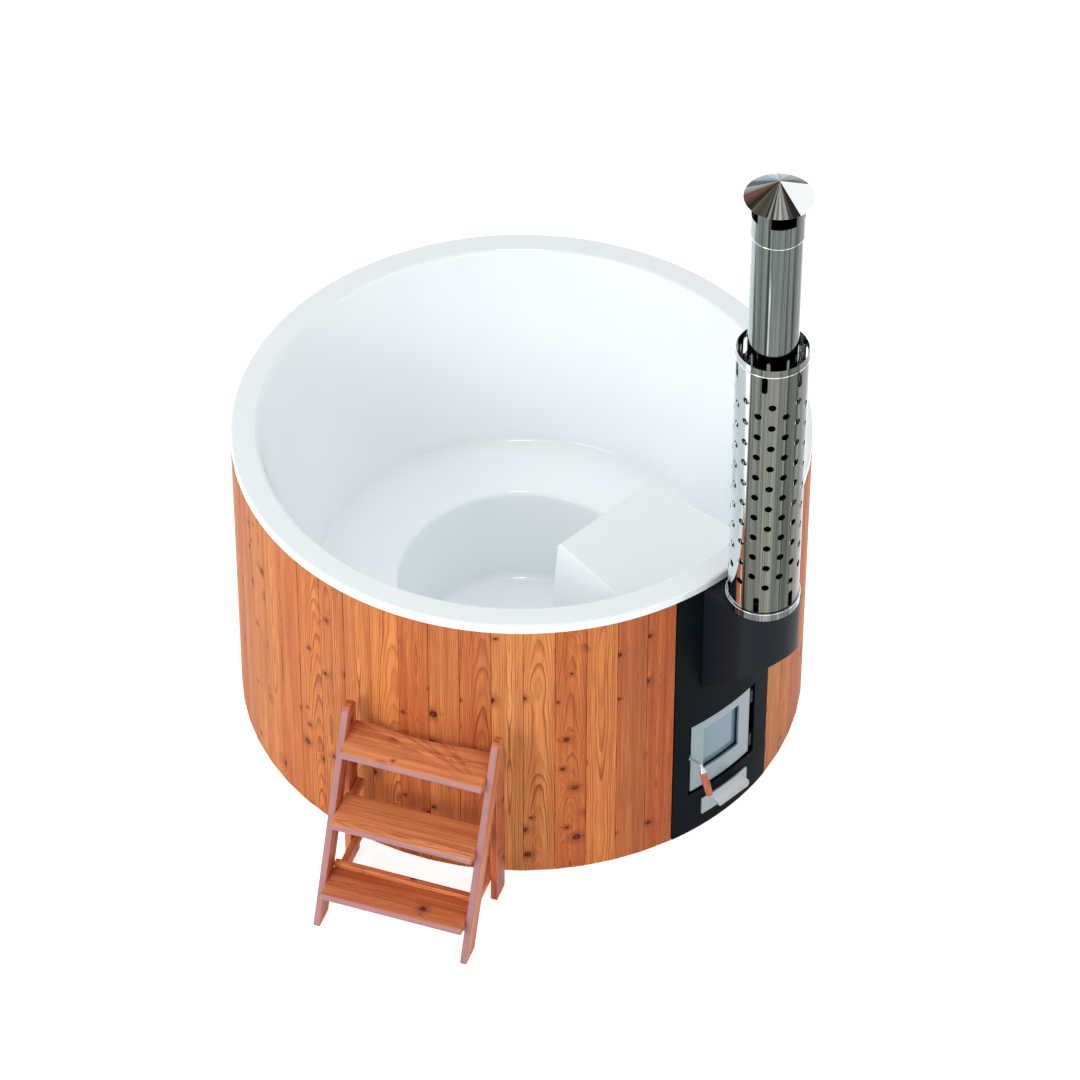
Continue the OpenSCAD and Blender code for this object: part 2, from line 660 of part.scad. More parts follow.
// ---- housing ----
house_r = 112.5;
house_t = 2;
house_top_z = lip_z - 3;
house_low_z = 631;
house_slope = 43.3;
module house_outline(gap) {
    translate([0, -flue_y]) circle(house_r - gap);
    translate([gap - house_r, -flue_y]) square([2 * (house_r - gap), flue_y - stove_front]);
}
module above_house_slope(rise) translate([0, -panel_r, house_low_z + rise])
    rotate([-house_slope, 0, 0]) translate([-big, -big, 0]) cube([2 * big, 2 * big, big]);
module housing_shell() color(black) difference() {
    intersection() {
        linear_extrude(house_top_z - house_t - seat) house_outline(0);
        above_house_slope(0);
    }
    intersection() {
        translate([0, 0, cut]) linear_extrude(house_top_z) house_outline(house_t);
        above_house_slope(house_t * 1.4);
    }
    cylinder(r = panel_r + seat, h = tub_h, $fn = 360);
}
module housing_lid() color(black) difference() {
    translate([0, 0, house_top_z - house_t]) linear_extrude(house_t) house_outline(0);
    cylinder(r = panel_r + seat, h = tub_h, $fn = 360);
    translate([0, -flue_y, 0]) cylinder(r = flue_r + 2, h = tub_h);
}

// ---- flue ----
pipe_t = 1.5;
pipe_play = 0.4;
socket_l = 34;
socket_step = 5;
module tube(r_out, t, h) difference() {
    cylinder(r = r_out, h = h);
    translate([0, 0, -cut]) cylinder(r = r_out - t, h = h + 2 * cut);
}
// A socket with an inner shoulder that the next pipe stands on
module socket() difference() {
    cylinder(r = flue_r + pipe_play + pipe_t, h = socket_l);
    translate([0, 0, -cut]) cylinder(r = flue_r - pipe_t, h = socket_l);
    translate([0, 0, socket_step]) cylinder(r = flue_r + pipe_play, h = socket_l);
}
spigot_r = flue_r - pipe_t - pipe_play;
module flue_spigot() color(iron) intersection() {
    on_flue_slope() translate([0, 0, -flue_d]) tube(spigot_r, 2, flue_d + elbow_start + 14);
    block(-flue_d, flue_d, -flue_y, -stove_front, 0, tub_h);
}
elbow_top_z = house_top_z + 6;
elbow_start = flue_r + 6;
mitre = 11.25;      // half the turn at each of the elbow's two seams
// A straight length of the elbow's rod, turned about the bend's centre and cut off at its seams
module gore_rod(r, turn, low, high) rotate([turn, 0, 0]) difference() {
    translate([0, -bend_r, -low]) cylinder(r = r, h = low + high);
    if (turn > 0) rotate([-mitre, 0, 0]) translate([-big, -big, -hairline]) cube([2 * big, 2 * big, big]);
    if (turn < 45) rotate([mitre, 0, 0]) translate([-big, -big, hairline - big])
        cube([2 * big, 2 * big, big]);
}
module gore(turn, low, high) difference() {
    gore_rod(flue_r, turn, low, high);
    rotate([turn, 0, 0]) translate([0, -bend_r, -big / 2]) cylinder(r = flue_r - pipe_t, h = big);
}
module flue_elbow() color(iron) {
    translate([0, bend_r - flue_y, bend_z]) {
        gore(45, flue_run - elbow_start, bend_r);
        gore(22.5, bend_r, bend_r);
        gore(0, bend_r, elbow_top_z - bend_z);
    }
    translate([0, -flue_y, elbow_top_z + hairline]) socket();
}
lower_pipe_z = elbow_top_z + socket_step + seat;
joint_z = 1500;
upper_pipe_z = joint_z + socket_step + seat;
upper_pipe_top = cap_rim_z - 95;
module flue_lower_pipe() color(mirror_steel) translate([0, -flue_y, 0]) {
    translate([0, 0, lower_pipe_z]) tube(flue_r, pipe_t, joint_z - lower_pipe_z);
    translate([0, 0, joint_z]) socket();
}
module flue_upper_pipe() color(mirror_steel) translate([0, -flue_y, upper_pipe_z])
    tube(flue_r, pipe_t, upper_pipe_top - upper_pipe_z);

cowl_z = cap_rim_z - 134;
cowl_t = 2.2;
cowl_r = flue_r + pipe_play + cowl_t;
cowl_windows = 4;
window_angle = 57;
window_az = -34;
window_z = cap_rim_z - 61;
window_h = 55;
cap_t = 1.5;
module under_cap() translate([0, 0, cap_rim_z - cap_t - seat])
    cylinder(r1 = cap_d / 2, r2 = 0, h = cap_h);
module flue_cowl() color(mirror_steel) translate([0, -flue_y, 0]) difference() {
    intersection() {
        translate([0, 0, cowl_z]) tube(cowl_r, cowl_t, cap_rim_z - cowl_z + cap_h);
        union() {
            under_cap();
            cylinder(r = cowl_r + cut, h = cap_rim_z - 1);
        }
    }
    for (i = [0 : cowl_windows - 1])
        curved_plate(flue_r - 5, cowl_r + 5, window_az - window_angle / 2 + i * 360 / cowl_windows,
            window_az + window_angle / 2 + i * 360 / cowl_windows, window_z, window_z + window_h);
}
module rain_cap() color(mirror_steel) translate([0, -flue_y, cap_rim_z]) rotate_extrude()
    polygon([[0, cap_h], [cap_d / 2, 0], [cap_d / 2, -cap_t], [0, cap_h - cap_t]]);

// ---- heat shield ----
shield_r = shield_d / 2;
shield_t = 1.5;
shield_z = house_top_z + seat;
shield_slots = 6;
shield_slot_w = 18;
shield_slot_l = 62;
shield_slot_az = -58.5;
vent_az = -45;
vent_z = 1168;
vent_reach = 8;     // how far a cutter reaches either side of the shield's wall
vent_rows = 10;
bead_z = shield_top_z - 25;
module slot_cutter(az, z) rotate([0, 0, az]) translate([0, vent_reach - shield_r, z])
    rotate([90, 0, 0]) linear_extrude(2 * vent_reach) {
        translate([-shield_slot_w / 2, shield_slot_w / 2])
            square([shield_slot_w, shield_slot_l - shield_slot_w]);
        for (y = [shield_slot_w / 2, shield_slot_l - shield_slot_w / 2]) translate([0, y])
            circle(shield_slot_w / 2);
    }
module heat_shield() color(mirror_steel) translate([0, -flue_y, 0]) {
    difference() {
        translate([0, 0, shield_z]) tube(shield_r, shield_t, shield_top_z - shield_z);
        for (c = [0 : vent_columns - 1]) {
            odd = c % 2;
            for (i = [0 : vent_rows - 1 - odd])
                rotate([0, 0, vent_az + c * 360 / vent_columns])
                translate([0, 0, vent_z + (i + odd / 2) * vent_pitch])
                along_y(vent_d / 2, vent_reach - shield_r, 2 * vent_reach);
        }
        for (i = [0 : shield_slots - 1], z = [shield_z + 30, bead_z - shield_slot_l - 2])
            slot_cutter(shield_slot_az + i * 360 / shield_slots, z);
    }
    translate([0, 0, bead_z]) rotate_extrude() translate([shield_r, 0]) difference() {
        circle(1.6, $fn = 24);
        translate([-4, -2]) square([4 - shield_t / 2, 4]);
    }
}
collar_h = 28;
module shield_collar() color(steel) translate([0, -flue_y, house_top_z]) rotate_extrude()
    polygon([[shield_r + seat, 0], [house_r - 0.5, 0], [house_r - 0.5, 2], [shield_r + 2, collar_h],
        [shield_r + seat, collar_h]]);
spacer_t = 3;
module shield_spacers() color(steel) translate([0, -flue_y, 0])
    for (a = [0, 120, 240], z = [shield_z + 100, bead_z - 110]) rotate([0, 0, a])
        block(-spacer_t / 2, spacer_t / 2, seat - shield_r + shield_t, -flue_r - seat, z, z + 26);

// ---- water fittings ----
module circulation_ports() color(satin) for (z = port_z) difference() {
    at_port(z) difference() {
        union() {
            along_y(40, 5 + seat, 5);
            along_y(port_r, 5, 4 * (stove_back - bay_in));
        }
        along_y(port_r - 4, 6, 5 * (stove_back - bay_in));
    }
    block(-big, big, -big, -stove_back, 0, tub_h);
}
module port_grilles() color(satin) for (z = port_z) at_port(z) difference() {
    along_y(38, 9 + seat, 4);
    for (x = [-port_r : 8 : port_r]) block(x - 2, x + 2, 4, 12, -22, 22);
}
module drain_fitting() color(satin) difference() {
    union() {
        translate([0, drain_y, floor_z + seat]) cylinder(r = 42, h = 4);
        translate([0, drain_y, drain_z - drain_tube_r - 1]) cylinder(r = drain_tube_r,
            h = floor_z + 2 - drain_z + drain_tube_r);
        translate([0, 0, drain_z]) along_y(drain_tube_r, drain_y + 46, 46);
    }
    translate([0, drain_y, drain_z - drain_d / 2]) cylinder(r = drain_d / 2, h = floor_z + 1 - drain_z
        + drain_d / 2);
    translate([0, 0, drain_z]) along_y(drain_d / 2 + seat, drain_y + 47, 47);
    for (a = [0 : 45 : 315]) translate([12 * cos(a), drain_y + 12 * sin(a), floor_z - 1])
        cylinder(r = 2.6, h = 10, $fn = 24);
}
valve_y = wall_r + 56;
ball_r = 22;
valve_bore = drain_d / 2 - 5;
valve_half = 30;
nut_t = 14;
module drain_pipe() color("#d8d8d2") translate([0, 0, drain_z]) difference() {
    along_y(drain_d / 2, valve_y - 26, valve_y - 26 - drain_y - 28);
    along_y(drain_d / 2 - 3, valve_y, valve_y - drain_y);
}
stem_r = 6;
module drain_valve_body() color("#b08d3c") difference() {
    translate([0, 0, drain_z]) {
        along_y(valve_half, valve_y + valve_half, 2 * valve_half);
        for (y = [valve_y + 40, valve_y - 26]) translate([0, y, 0]) rotate([90, 0, 0])
            cylinder(r = valve_half + 1, h = nut_t, $fn = 6);
        along_y(tail_d / 2, valve_y + 76, 40);
        translate([0, valve_y, 0]) cylinder(r = 12, h = 44);
    }
    translate([0, 0, drain_z]) along_y(valve_bore, valve_y + 100, 200);
    translate([0, 0, drain_z]) along_y(drain_d / 2 + seat, valve_y - 25.7, 40);
    translate([0, valve_y, drain_z]) sphere(r = ball_r + seat);
    translate([0, valve_y, drain_z]) cylinder(r = stem_r + pin_play, h = 60);
}
module drain_valve_ball() color(steel) translate([0, valve_y, drain_z]) difference() {
    union() {
        sphere(r = ball_r);
        cylinder(r = stem_r, h = 52);
    }
    rotate([0, 0, 90]) along_y(valve_bore, 60, 120);
}
lever_l = 96;
lever_w = 16;
lever_t = 5;
module drain_valve_lever() color("#b23a2e") translate([0, valve_y, drain_z + 46]) difference() {
    union() {
        cylinder(r = 12, h = lever_t);
        block(0, lever_l, -lever_w / 2, lever_w / 2, 0, lever_t);
        translate([lever_l, 0, 0]) cylinder(r = lever_w / 2, h = lever_t);
    }
    translate([0, 0, -cut]) cylinder(r = stem_r + 0.05, h = 10);
}

// ---- steps ----
side_x0 = steps_w / 2;
lean = tan(stile_lean);
foot_l = stile_w / cos(stile_lean);
foot_front = rim_r + foot_out;
function stile_front(z) = foot_front - lean * z;
top_tread_z = tread_z + 2 * tread_rise;
head_z = top_tread_z + 65;
head_v = stile_front(head_z) - foot_l / 2;
leg_back = wall_r + 18;
// Draws an outline of distance from the tub's axis and height, and gives it the thickness of a side
module on_steps() rotate([0, 0, steps_az]) translate([steps_shift, 0, 0]) children();
module side_board(x0) on_steps() translate([x0, 0, 0]) rotate([90, 0, 90])
    linear_extrude(side_t) mirror([1, 0]) children();
module stile_outline() intersection() {
    union() {
        polygon([[stile_front(-40), -40], [stile_front(head_z) , head_z],
            [stile_front(head_z) - foot_l, head_z], [stile_front(-40) - foot_l, -40]]);
        translate([head_v, head_z]) circle(stile_w / 2);
    }
    square([2 * foot_front, 2 * head_z]);
}
module leg_outline() difference() {
    translate([leg_back, 0]) square([stile_w + 2, head_z]);
    polygon([[stile_front(-40) - foot_l, -40], [stile_front(head_z) - foot_l, head_z],
        [stile_front(2 * head_z) - foot_l, 2 * head_z], [2 * foot_front, 2 * head_z],
        [2 * foot_front, -40]]);
    translate([head_v, head_z]) circle(stile_w / 2);
}
module steps_left_stile() color(larch) side_board(-side_x0 - side_t) stile_outline();
module steps_right_stile() color(larch) side_board(side_x0) stile_outline();
module steps_legs() color(larch) for (x0 = [-side_x0 - side_t, side_x0])
    side_board(x0) leg_outline();

// A tread with a rounded nose, its front at distance v and its top at height z
nose_r = 9;
module tread(z, depth) on_steps() {
    v = stile_front(z) + tread_nose;
    translate([-side_x0, 0, 0]) rotate([90, 0, 90]) linear_extrude(steps_w) mirror([1, 0])
        polygon(rounded([[v - depth, z - tread_t], [v, z - tread_t], [v, z], [v - depth, z]],
            [0, nose_r, nose_r, 0]));
}
module steps_bottom_tread() color(larch) tread(tread_z, tread_depth);
module steps_middle_tread() color(larch) tread(tread_z + tread_rise, tread_depth);
module steps_top_tread() color(larch) difference() {
    tread(top_tread_z, tread_depth + 8);
    cylinder(r = wall_r + steps_gap, h = tub_h, $fn = 360);
}
cleat_h = 30;
cleat_w = 22;
module steps_cleats() color(larch) on_steps()
    for (s = [0, 1], i = [0 : 2]) mirror([s, 0, 0]) {
        top = tread_z + i * tread_rise - tread_t;
        block(side_x0 - cleat_w, side_x0, 12 - stile_front(top), -leg_back - 6, top - cleat_h, top);
    }
module steps_heel_strip() color(larch) on_steps() {
    back = stile_front(tread_z) + tread_nose - tread_depth;
    block(-side_x0, side_x0, -back - cleat_w, -back, tread_z, tread_z + 18);
}

liner_wall();
liner_bench();
liner_footwell();
liner_bay();
wall_boards();
fixing_rings();
base_plate();
base_bearers();
floor_insulation();
bench_frame();
front_panel();
panel_battens();
stove_front_plate();
stove_casing();
firebox();
fire_grate();
baffle_plate();
stove_feet();
door_throat();
ash_sleeve();
flue_spigot();
door_frame();
door_glass();
glass_gasket();
glass_retainer();
door_rope_seal();
hinge_brackets();
hinge_pins();
latch_shaft();
handle_ferrule();
handle_grip();
latch_keeper();
ash_tray();
ash_drawer_front();
ash_drawer_pull();
housing_shell();
housing_lid();
flue_elbow();
flue_lower_pipe();
flue_upper_pipe();
flue_cowl();
rain_cap();
heat_shield();
shield_collar();
shield_spacers();
circulation_ports();
port_grilles();
drain_fitting();
drain_pipe();
drain_valve_body();
drain_valve_ball();
drain_valve_lever();
steps_left_stile();
steps_right_stile();
steps_legs();
steps_top_tread();
steps_middle_tread();
steps_bottom_tread();
steps_cleats();
steps_heel_strip();
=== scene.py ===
import math

import bmesh
import bpy
import numpy as np
from mathutils import Matrix, Vector


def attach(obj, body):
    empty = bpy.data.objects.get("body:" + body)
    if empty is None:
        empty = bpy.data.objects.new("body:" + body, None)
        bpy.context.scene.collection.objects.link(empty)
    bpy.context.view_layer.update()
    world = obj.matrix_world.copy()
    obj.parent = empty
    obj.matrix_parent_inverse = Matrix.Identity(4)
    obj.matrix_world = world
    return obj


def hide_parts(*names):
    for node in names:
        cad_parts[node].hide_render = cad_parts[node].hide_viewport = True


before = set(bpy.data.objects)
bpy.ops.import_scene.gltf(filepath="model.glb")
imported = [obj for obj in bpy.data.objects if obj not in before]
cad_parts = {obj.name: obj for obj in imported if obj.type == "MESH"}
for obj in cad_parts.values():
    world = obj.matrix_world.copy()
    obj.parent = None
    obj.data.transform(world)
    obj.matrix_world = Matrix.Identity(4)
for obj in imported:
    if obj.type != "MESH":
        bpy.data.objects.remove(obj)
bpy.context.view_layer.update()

# ---- sizes, in metres, in the frame of the CAD model ----
RIM_R = 0.900
LIP_Z = 1.036
BOARD_TOP = LIP_Z - 0.0005
BOARD_T = 0.028
BOARD_COUNT = 54
BOARD_GAP = 0.0004                      # on each side of a board
FACE_ARRIS, BACK_ARRIS = 0.0026, 0.001  # radii of a board's outer and inner edges
FOOT_CUT, HEAD_CUT = 0.0005, 0.0015     # chamfers at a board's ends
FIRST_SEED, SEED_STEP = 2.9, 1.618      # the boards' numbers for the wood's chances
PANEL_ANGLE = math.radians(27)
GROUND_GAP = 0.006
DRAIN_Z = 0.070
DRAIN_HOLE_R = 0.026
FLUE_AXIS = (0.0, -1.030, 0.0)
SHIELD_R = 0.107
STEPS_TURN = math.radians(-63.9)        # bearing of the steps from the stove, round the tub's axis
STEPS_SHIFT = 0.0155                    # how far their middle lies to one side of that bearing
STEPS_LEAN = math.radians(24)
STEPS_SIDE = np.array([math.cos(STEPS_TURN), math.sin(STEPS_TURN)])
STEPS_AHEAD = (math.sin(STEPS_TURN), -math.cos(STEPS_TURN), 0.0)
STEPS_EDGE_R = 0.0030
STILE_TOE_V = 1.274                     # from the tub's axis to the outer corner of a stile's foot
STILE_HEAD_Z = 0.634
STILE_HALF_W = 0.035
STILE_FACES = (0.2285, 0.2505)          # from the steps' middle to a stile's two faces
CAMERA_SIDE = math.radians(-44.6)       # bearing of the photograph's camera from the stove
# the cap's white wedge is a painted reflection, turned from the camera's side
CAP_REFLECTION_TURN = math.radians(78)             # from there to the middle of the cap's white wedge


def add_object(name, data):
    """Puts a new object in the scene."""
    made = bpy.data.objects.new(name, data)
    bpy.context.scene.collection.objects.link(made)
    return made


# ---- shader nodes ----
def node(tree, kind, values=None, **settings):
    """Adds a shader node, sets its properties, and links or sets its inputs by name or number."""
    made = tree.nodes.new(kind)
    for key, value in settings.items():
        setattr(made, key, value)
    for key, value in (values or {}).items():
        if isinstance(value, bpy.types.NodeSocket):
            tree.links.new(value, made.inputs[key])
        else:
            made.inputs[key].default_value = value
    return made


def maths(tree, operation, a, b=0.0, c=0.0):
    """One Math node: a, b and c are sockets or numbers."""
    return node(tree, "ShaderNodeMath", {0: a, 1: b, 2: c}, operation=operation).outputs[0]


def vector_maths(tree, operation, a, b=(0.0, 0.0, 0.0)):
    """One Vector Math node that puts out a vector."""
    return node(tree, "ShaderNodeVectorMath", {0: a, 1: b}, operation=operation).outputs[0]


def measured(tree, operation, a, b=(0.0, 0.0, 0.0)):
    """One Vector Math node that puts out a number."""
    return node(tree, "ShaderNodeVectorMath", {0: a, 1: b}, operation=operation).outputs["Value"]


def split(tree, vector):
    """The three parts of a vector."""
    return node(tree, "ShaderNodeSeparateXYZ", {0: vector}).outputs


def joined(tree, x=0.0, y=0.0, z=0.0):
    """A vector made of its three parts."""
    return node(tree, "ShaderNodeCombineXYZ", {0: x, 1: y, 2: z}).outputs[0]


def blend_colour(tree, share, a, b, how="MIX"):
    """One Mix node for colours: its inputs 6 and 7 and its output 2 are the colours."""
    return node(tree, "ShaderNodeMix", {0: share, 6: a, 7: b}, data_type="RGBA",
                blend_type=how).outputs[2]


def tinted(tree, colour, shares):
    """A colour whose red, green and blue are each multiplied by a value of their own."""
    shade = node(tree, "ShaderNodeCombineColor", dict(enumerate(shares)))
    return blend_colour(tree, 1.0, colour, shade.outputs[0], "MULTIPLY")


def remap(tree, value, low, high, to_low=0.0, to_high=1.0, smooth=True):
    """One Map Range node, clamped."""
    return node(tree, "ShaderNodeMapRange", {0: value, 1: low, 2: high, 3: to_low, 4: to_high},
                interpolation_type="SMOOTHSTEP" if smooth else "LINEAR").outputs[0]


def noise(tree, place, scale, detail=2.0, rough=0.5):
    """One Noise node: its value, from about 0.25 to 0.75."""
    return node(tree, "ShaderNodeTexNoise", {"Vector": place, "Scale": scale, "Detail": detail,
                                              "Roughness": rough}).outputs[0]


def centred(tree, value):
    """A noise or a chance less its middle value."""
    return maths(tree, "SUBTRACT", value, 0.5)


def drawn(tree, number):
    """A White Noise node's outputs: a Value and a Color that belong to the number."""
    return node(tree, "ShaderNodeTexWhiteNoise", {"W": number}, noise_dimensions="1D").outputs


def chances(tree, colour):
    """The three values of a random colour, each from 0 to 1."""
    return node(tree, "ShaderNodeSeparateColor", {0: colour}).outputs


def object_place(tree, centre=(0.0, 0.0, 0.0)):
    """Object coordinates measured from a point."""
    coordinates = node(tree, "ShaderNodeTexCoord").outputs["Object"]
    return vector_maths(tree, "SUBTRACT", coordinates, centre)


def off_axis(tree, place):
    """The level distance of a point from the tub's axis."""
    return measured(tree, "LENGTH", vector_maths(tree, "MULTIPLY", place, (1.0, 1.0, 0.0)))


def round_axis(tree, place):
    """The bearing of a point from its upright axis, the level direction to it, and its height."""
    x, y, z = split(tree, place)
    bearing = maths(tree, "ARCTAN2", x, maths(tree, "MULTIPLY", y, -1.0))
    return bearing, vector_maths(tree, "NORMALIZE", joined(tree, x, y)), z


def seen(tree):
    """1 where a thing is looked at, also in a gloss or through glass, and 0 where it lights."""
    path = node(tree, "ShaderNodeLightPath").outputs
    looked = maths(tree, "MAXIMUM", path["Is Camera Ray"], path["Is Glossy Ray"])
    return maths(tree, "MAXIMUM", looked, path["Is Transmission Ray"])


def srgb(r, g, b):
    """A colour given as 0 to 255 in sRGB, as linear light."""
    share = np.array([r, g, b]) / 255.0
    linear = np.where(share <= 0.04045, share / 12.92, ((share + 0.055) / 1.055) ** 2.4)
    return (*linear.tolist(), 1.0)


# ---- camera, light and floor ----
WHITE = (1.0, 1.0, 1.0, 1.0)
SKY, SKY_STRENGTH = (0.96, 0.98, 1.0, 1.0), 0.79
LAMPS = (("key", (-8.96, -1.26, 4.5), 4.5, 350.0),  # name, place, diameter and watts
         ("fill", (1.0, -8.0, 5.8), 5.0, 25.0),
         ("top", (0.3, 0.3, 6.5), 0.7, 25.0))
LAMP_TARGET = Vector((0, 0, 0.5))
FLOOR_HALF, FLOOR_TINT = 30.0, (0.86, 0.87, 0.88, 1.0)
GLOW_FROM, GLOW_FULL, GLOW = 0.84, 0.90, 0.74   # two distances from the axis, and a strength


def make_camera():
    """The photograph's viewing angle: it stands off the steps' side of the stove and looks down."""
    distance, pitch, target_z = 17.6159, 0.76548, 0.45
    pan, tilt, roll = 0.00453, -0.00476, 0.00274
    down = pitch + tilt
    ahead = Vector((math.sin(pan) * math.cos(down), math.cos(pan) * math.cos(down),
                    -math.sin(down)))
    right = Vector((math.cos(pan), -math.sin(pan), 0.0))
    up = right.cross(ahead)
    turned_right = right * math.cos(roll) + up * math.sin(roll)
    turned_up = up * math.cos(roll) - right * math.sin(roll)
    axes = Matrix((turned_right, turned_up, -ahead)).transposed().to_4x4()
    place = Vector((0.0, -distance * math.cos(pitch), target_z + distance * math.sin(pitch)))
    data = bpy.data.cameras.new("camera")
    data.lens, data.sensor_width = 185.375, 36.0
    data.clip_end = 200.0
    camera = add_object("camera", data)
    camera.matrix_world = Matrix.Rotation(CAMERA_SIDE, 4, "Z") @ Matrix.Translation(place) @ axes
    bpy.context.scene.camera = camera


def make_light():
    """A white studio: an even sky, white where it is seen, two large soft lamps and a small one."""
    world = bpy.data.worlds.new("studio")
    bpy.context.scene.world = world
    world.use_nodes = True
    tree = world.node_tree
    tree.nodes.clear()
    even = node(tree, "ShaderNodeBackground", {"Color": SKY, "Strength": SKY_STRENGTH})
    white = node(tree, "ShaderNodeBackground", {"Color": WHITE, "Strength": 1.0})
    mixed = node(tree, "ShaderNodeMixShader", {0: seen(tree), 1: even.outputs[0],
                                                2: white.outputs[0]})
    node(tree, "ShaderNodeOutputWorld", {0: mixed.outputs[0]})
    for name, place, size, power in LAMPS:
        data = bpy.data.lights.new(name, "AREA")
        data.shape, data.size, data.energy = "DISK", size, power
        lamp = add_object(name, data)
        lamp.location = place
        lamp.rotation_euler = (LAMP_TARGET - Vector(place)).to_track_quat("-Z", "Y").to_euler()


def make_floor():
    """A pale floor. Outside the tub's foot it glows where it is seen, so its shadows are soft."""
    corners = [(x * FLOOR_HALF, y * FLOOR_HALF, 0) for x, y in ((-1, -1), (1, -1), (1, 1), (-1, 1))]
    mesh = bpy.data.meshes.new("floor")
    mesh.from_pydata(corners, [], [(0, 1, 2, 3)])
    floor = add_object("floor", mesh)
    material = bpy.data.materials.new("floor")
    material.use_nodes = True
    tree = material.node_tree
    tree.nodes.clear()
    matt = node(tree, "ShaderNodeBsdfDiffuse", {"Color": FLOOR_TINT})
    strength = remap(tree, off_axis(tree, object_place(tree)), GLOW_FROM, GLOW_FULL, 0.0, GLOW)
    glow = node(tree, "ShaderNodeEmission", {"Color": WHITE, "Strength": strength})
    both = node(tree, "ShaderNodeAddShader", {0: matt.outputs[0], 1: glow.outputs[0]})
    mixed = node(tree, "ShaderNodeMixShader", {0: seen(tree), 1: matt.outputs[0],
                                                2: both.outputs[0]})
    node(tree, "ShaderNodeOutputMaterial", {0: mixed.outputs[0]})
    mesh.materials.append(material)


# ---- shared effects, as node groups ----
def new_group(name, **inputs):
    """A shader node group that puts out a colour, a roughness and a height.

    Returns its tree, the sockets that it is given and the sockets that it puts out."""
    tree = bpy.data.node_groups.new(name, "ShaderNodeTree")
    for label, kind in inputs.items():
        tree.interface.new_socket(label, in_out="INPUT", socket_type="NodeSocket" + kind)
    for label, kind in (("Color", "Color"), ("Roughness", "Float"), ("Height", "Float")):
        tree.interface.new_socket(label, in_out="OUTPUT", socket_type="NodeSocket" + kind)
    given = tree.nodes.new("NodeGroupInput").outputs
    return tree, given, tree.nodes.new("NodeGroupOutput").inputs


def put_out(tree, out, colour, roughness, height):
    """Links a group's results."""
    for label, value in (("Color", colour), ("Roughness", roughness), ("Height", height)):
        tree.links.new(value, out[label])


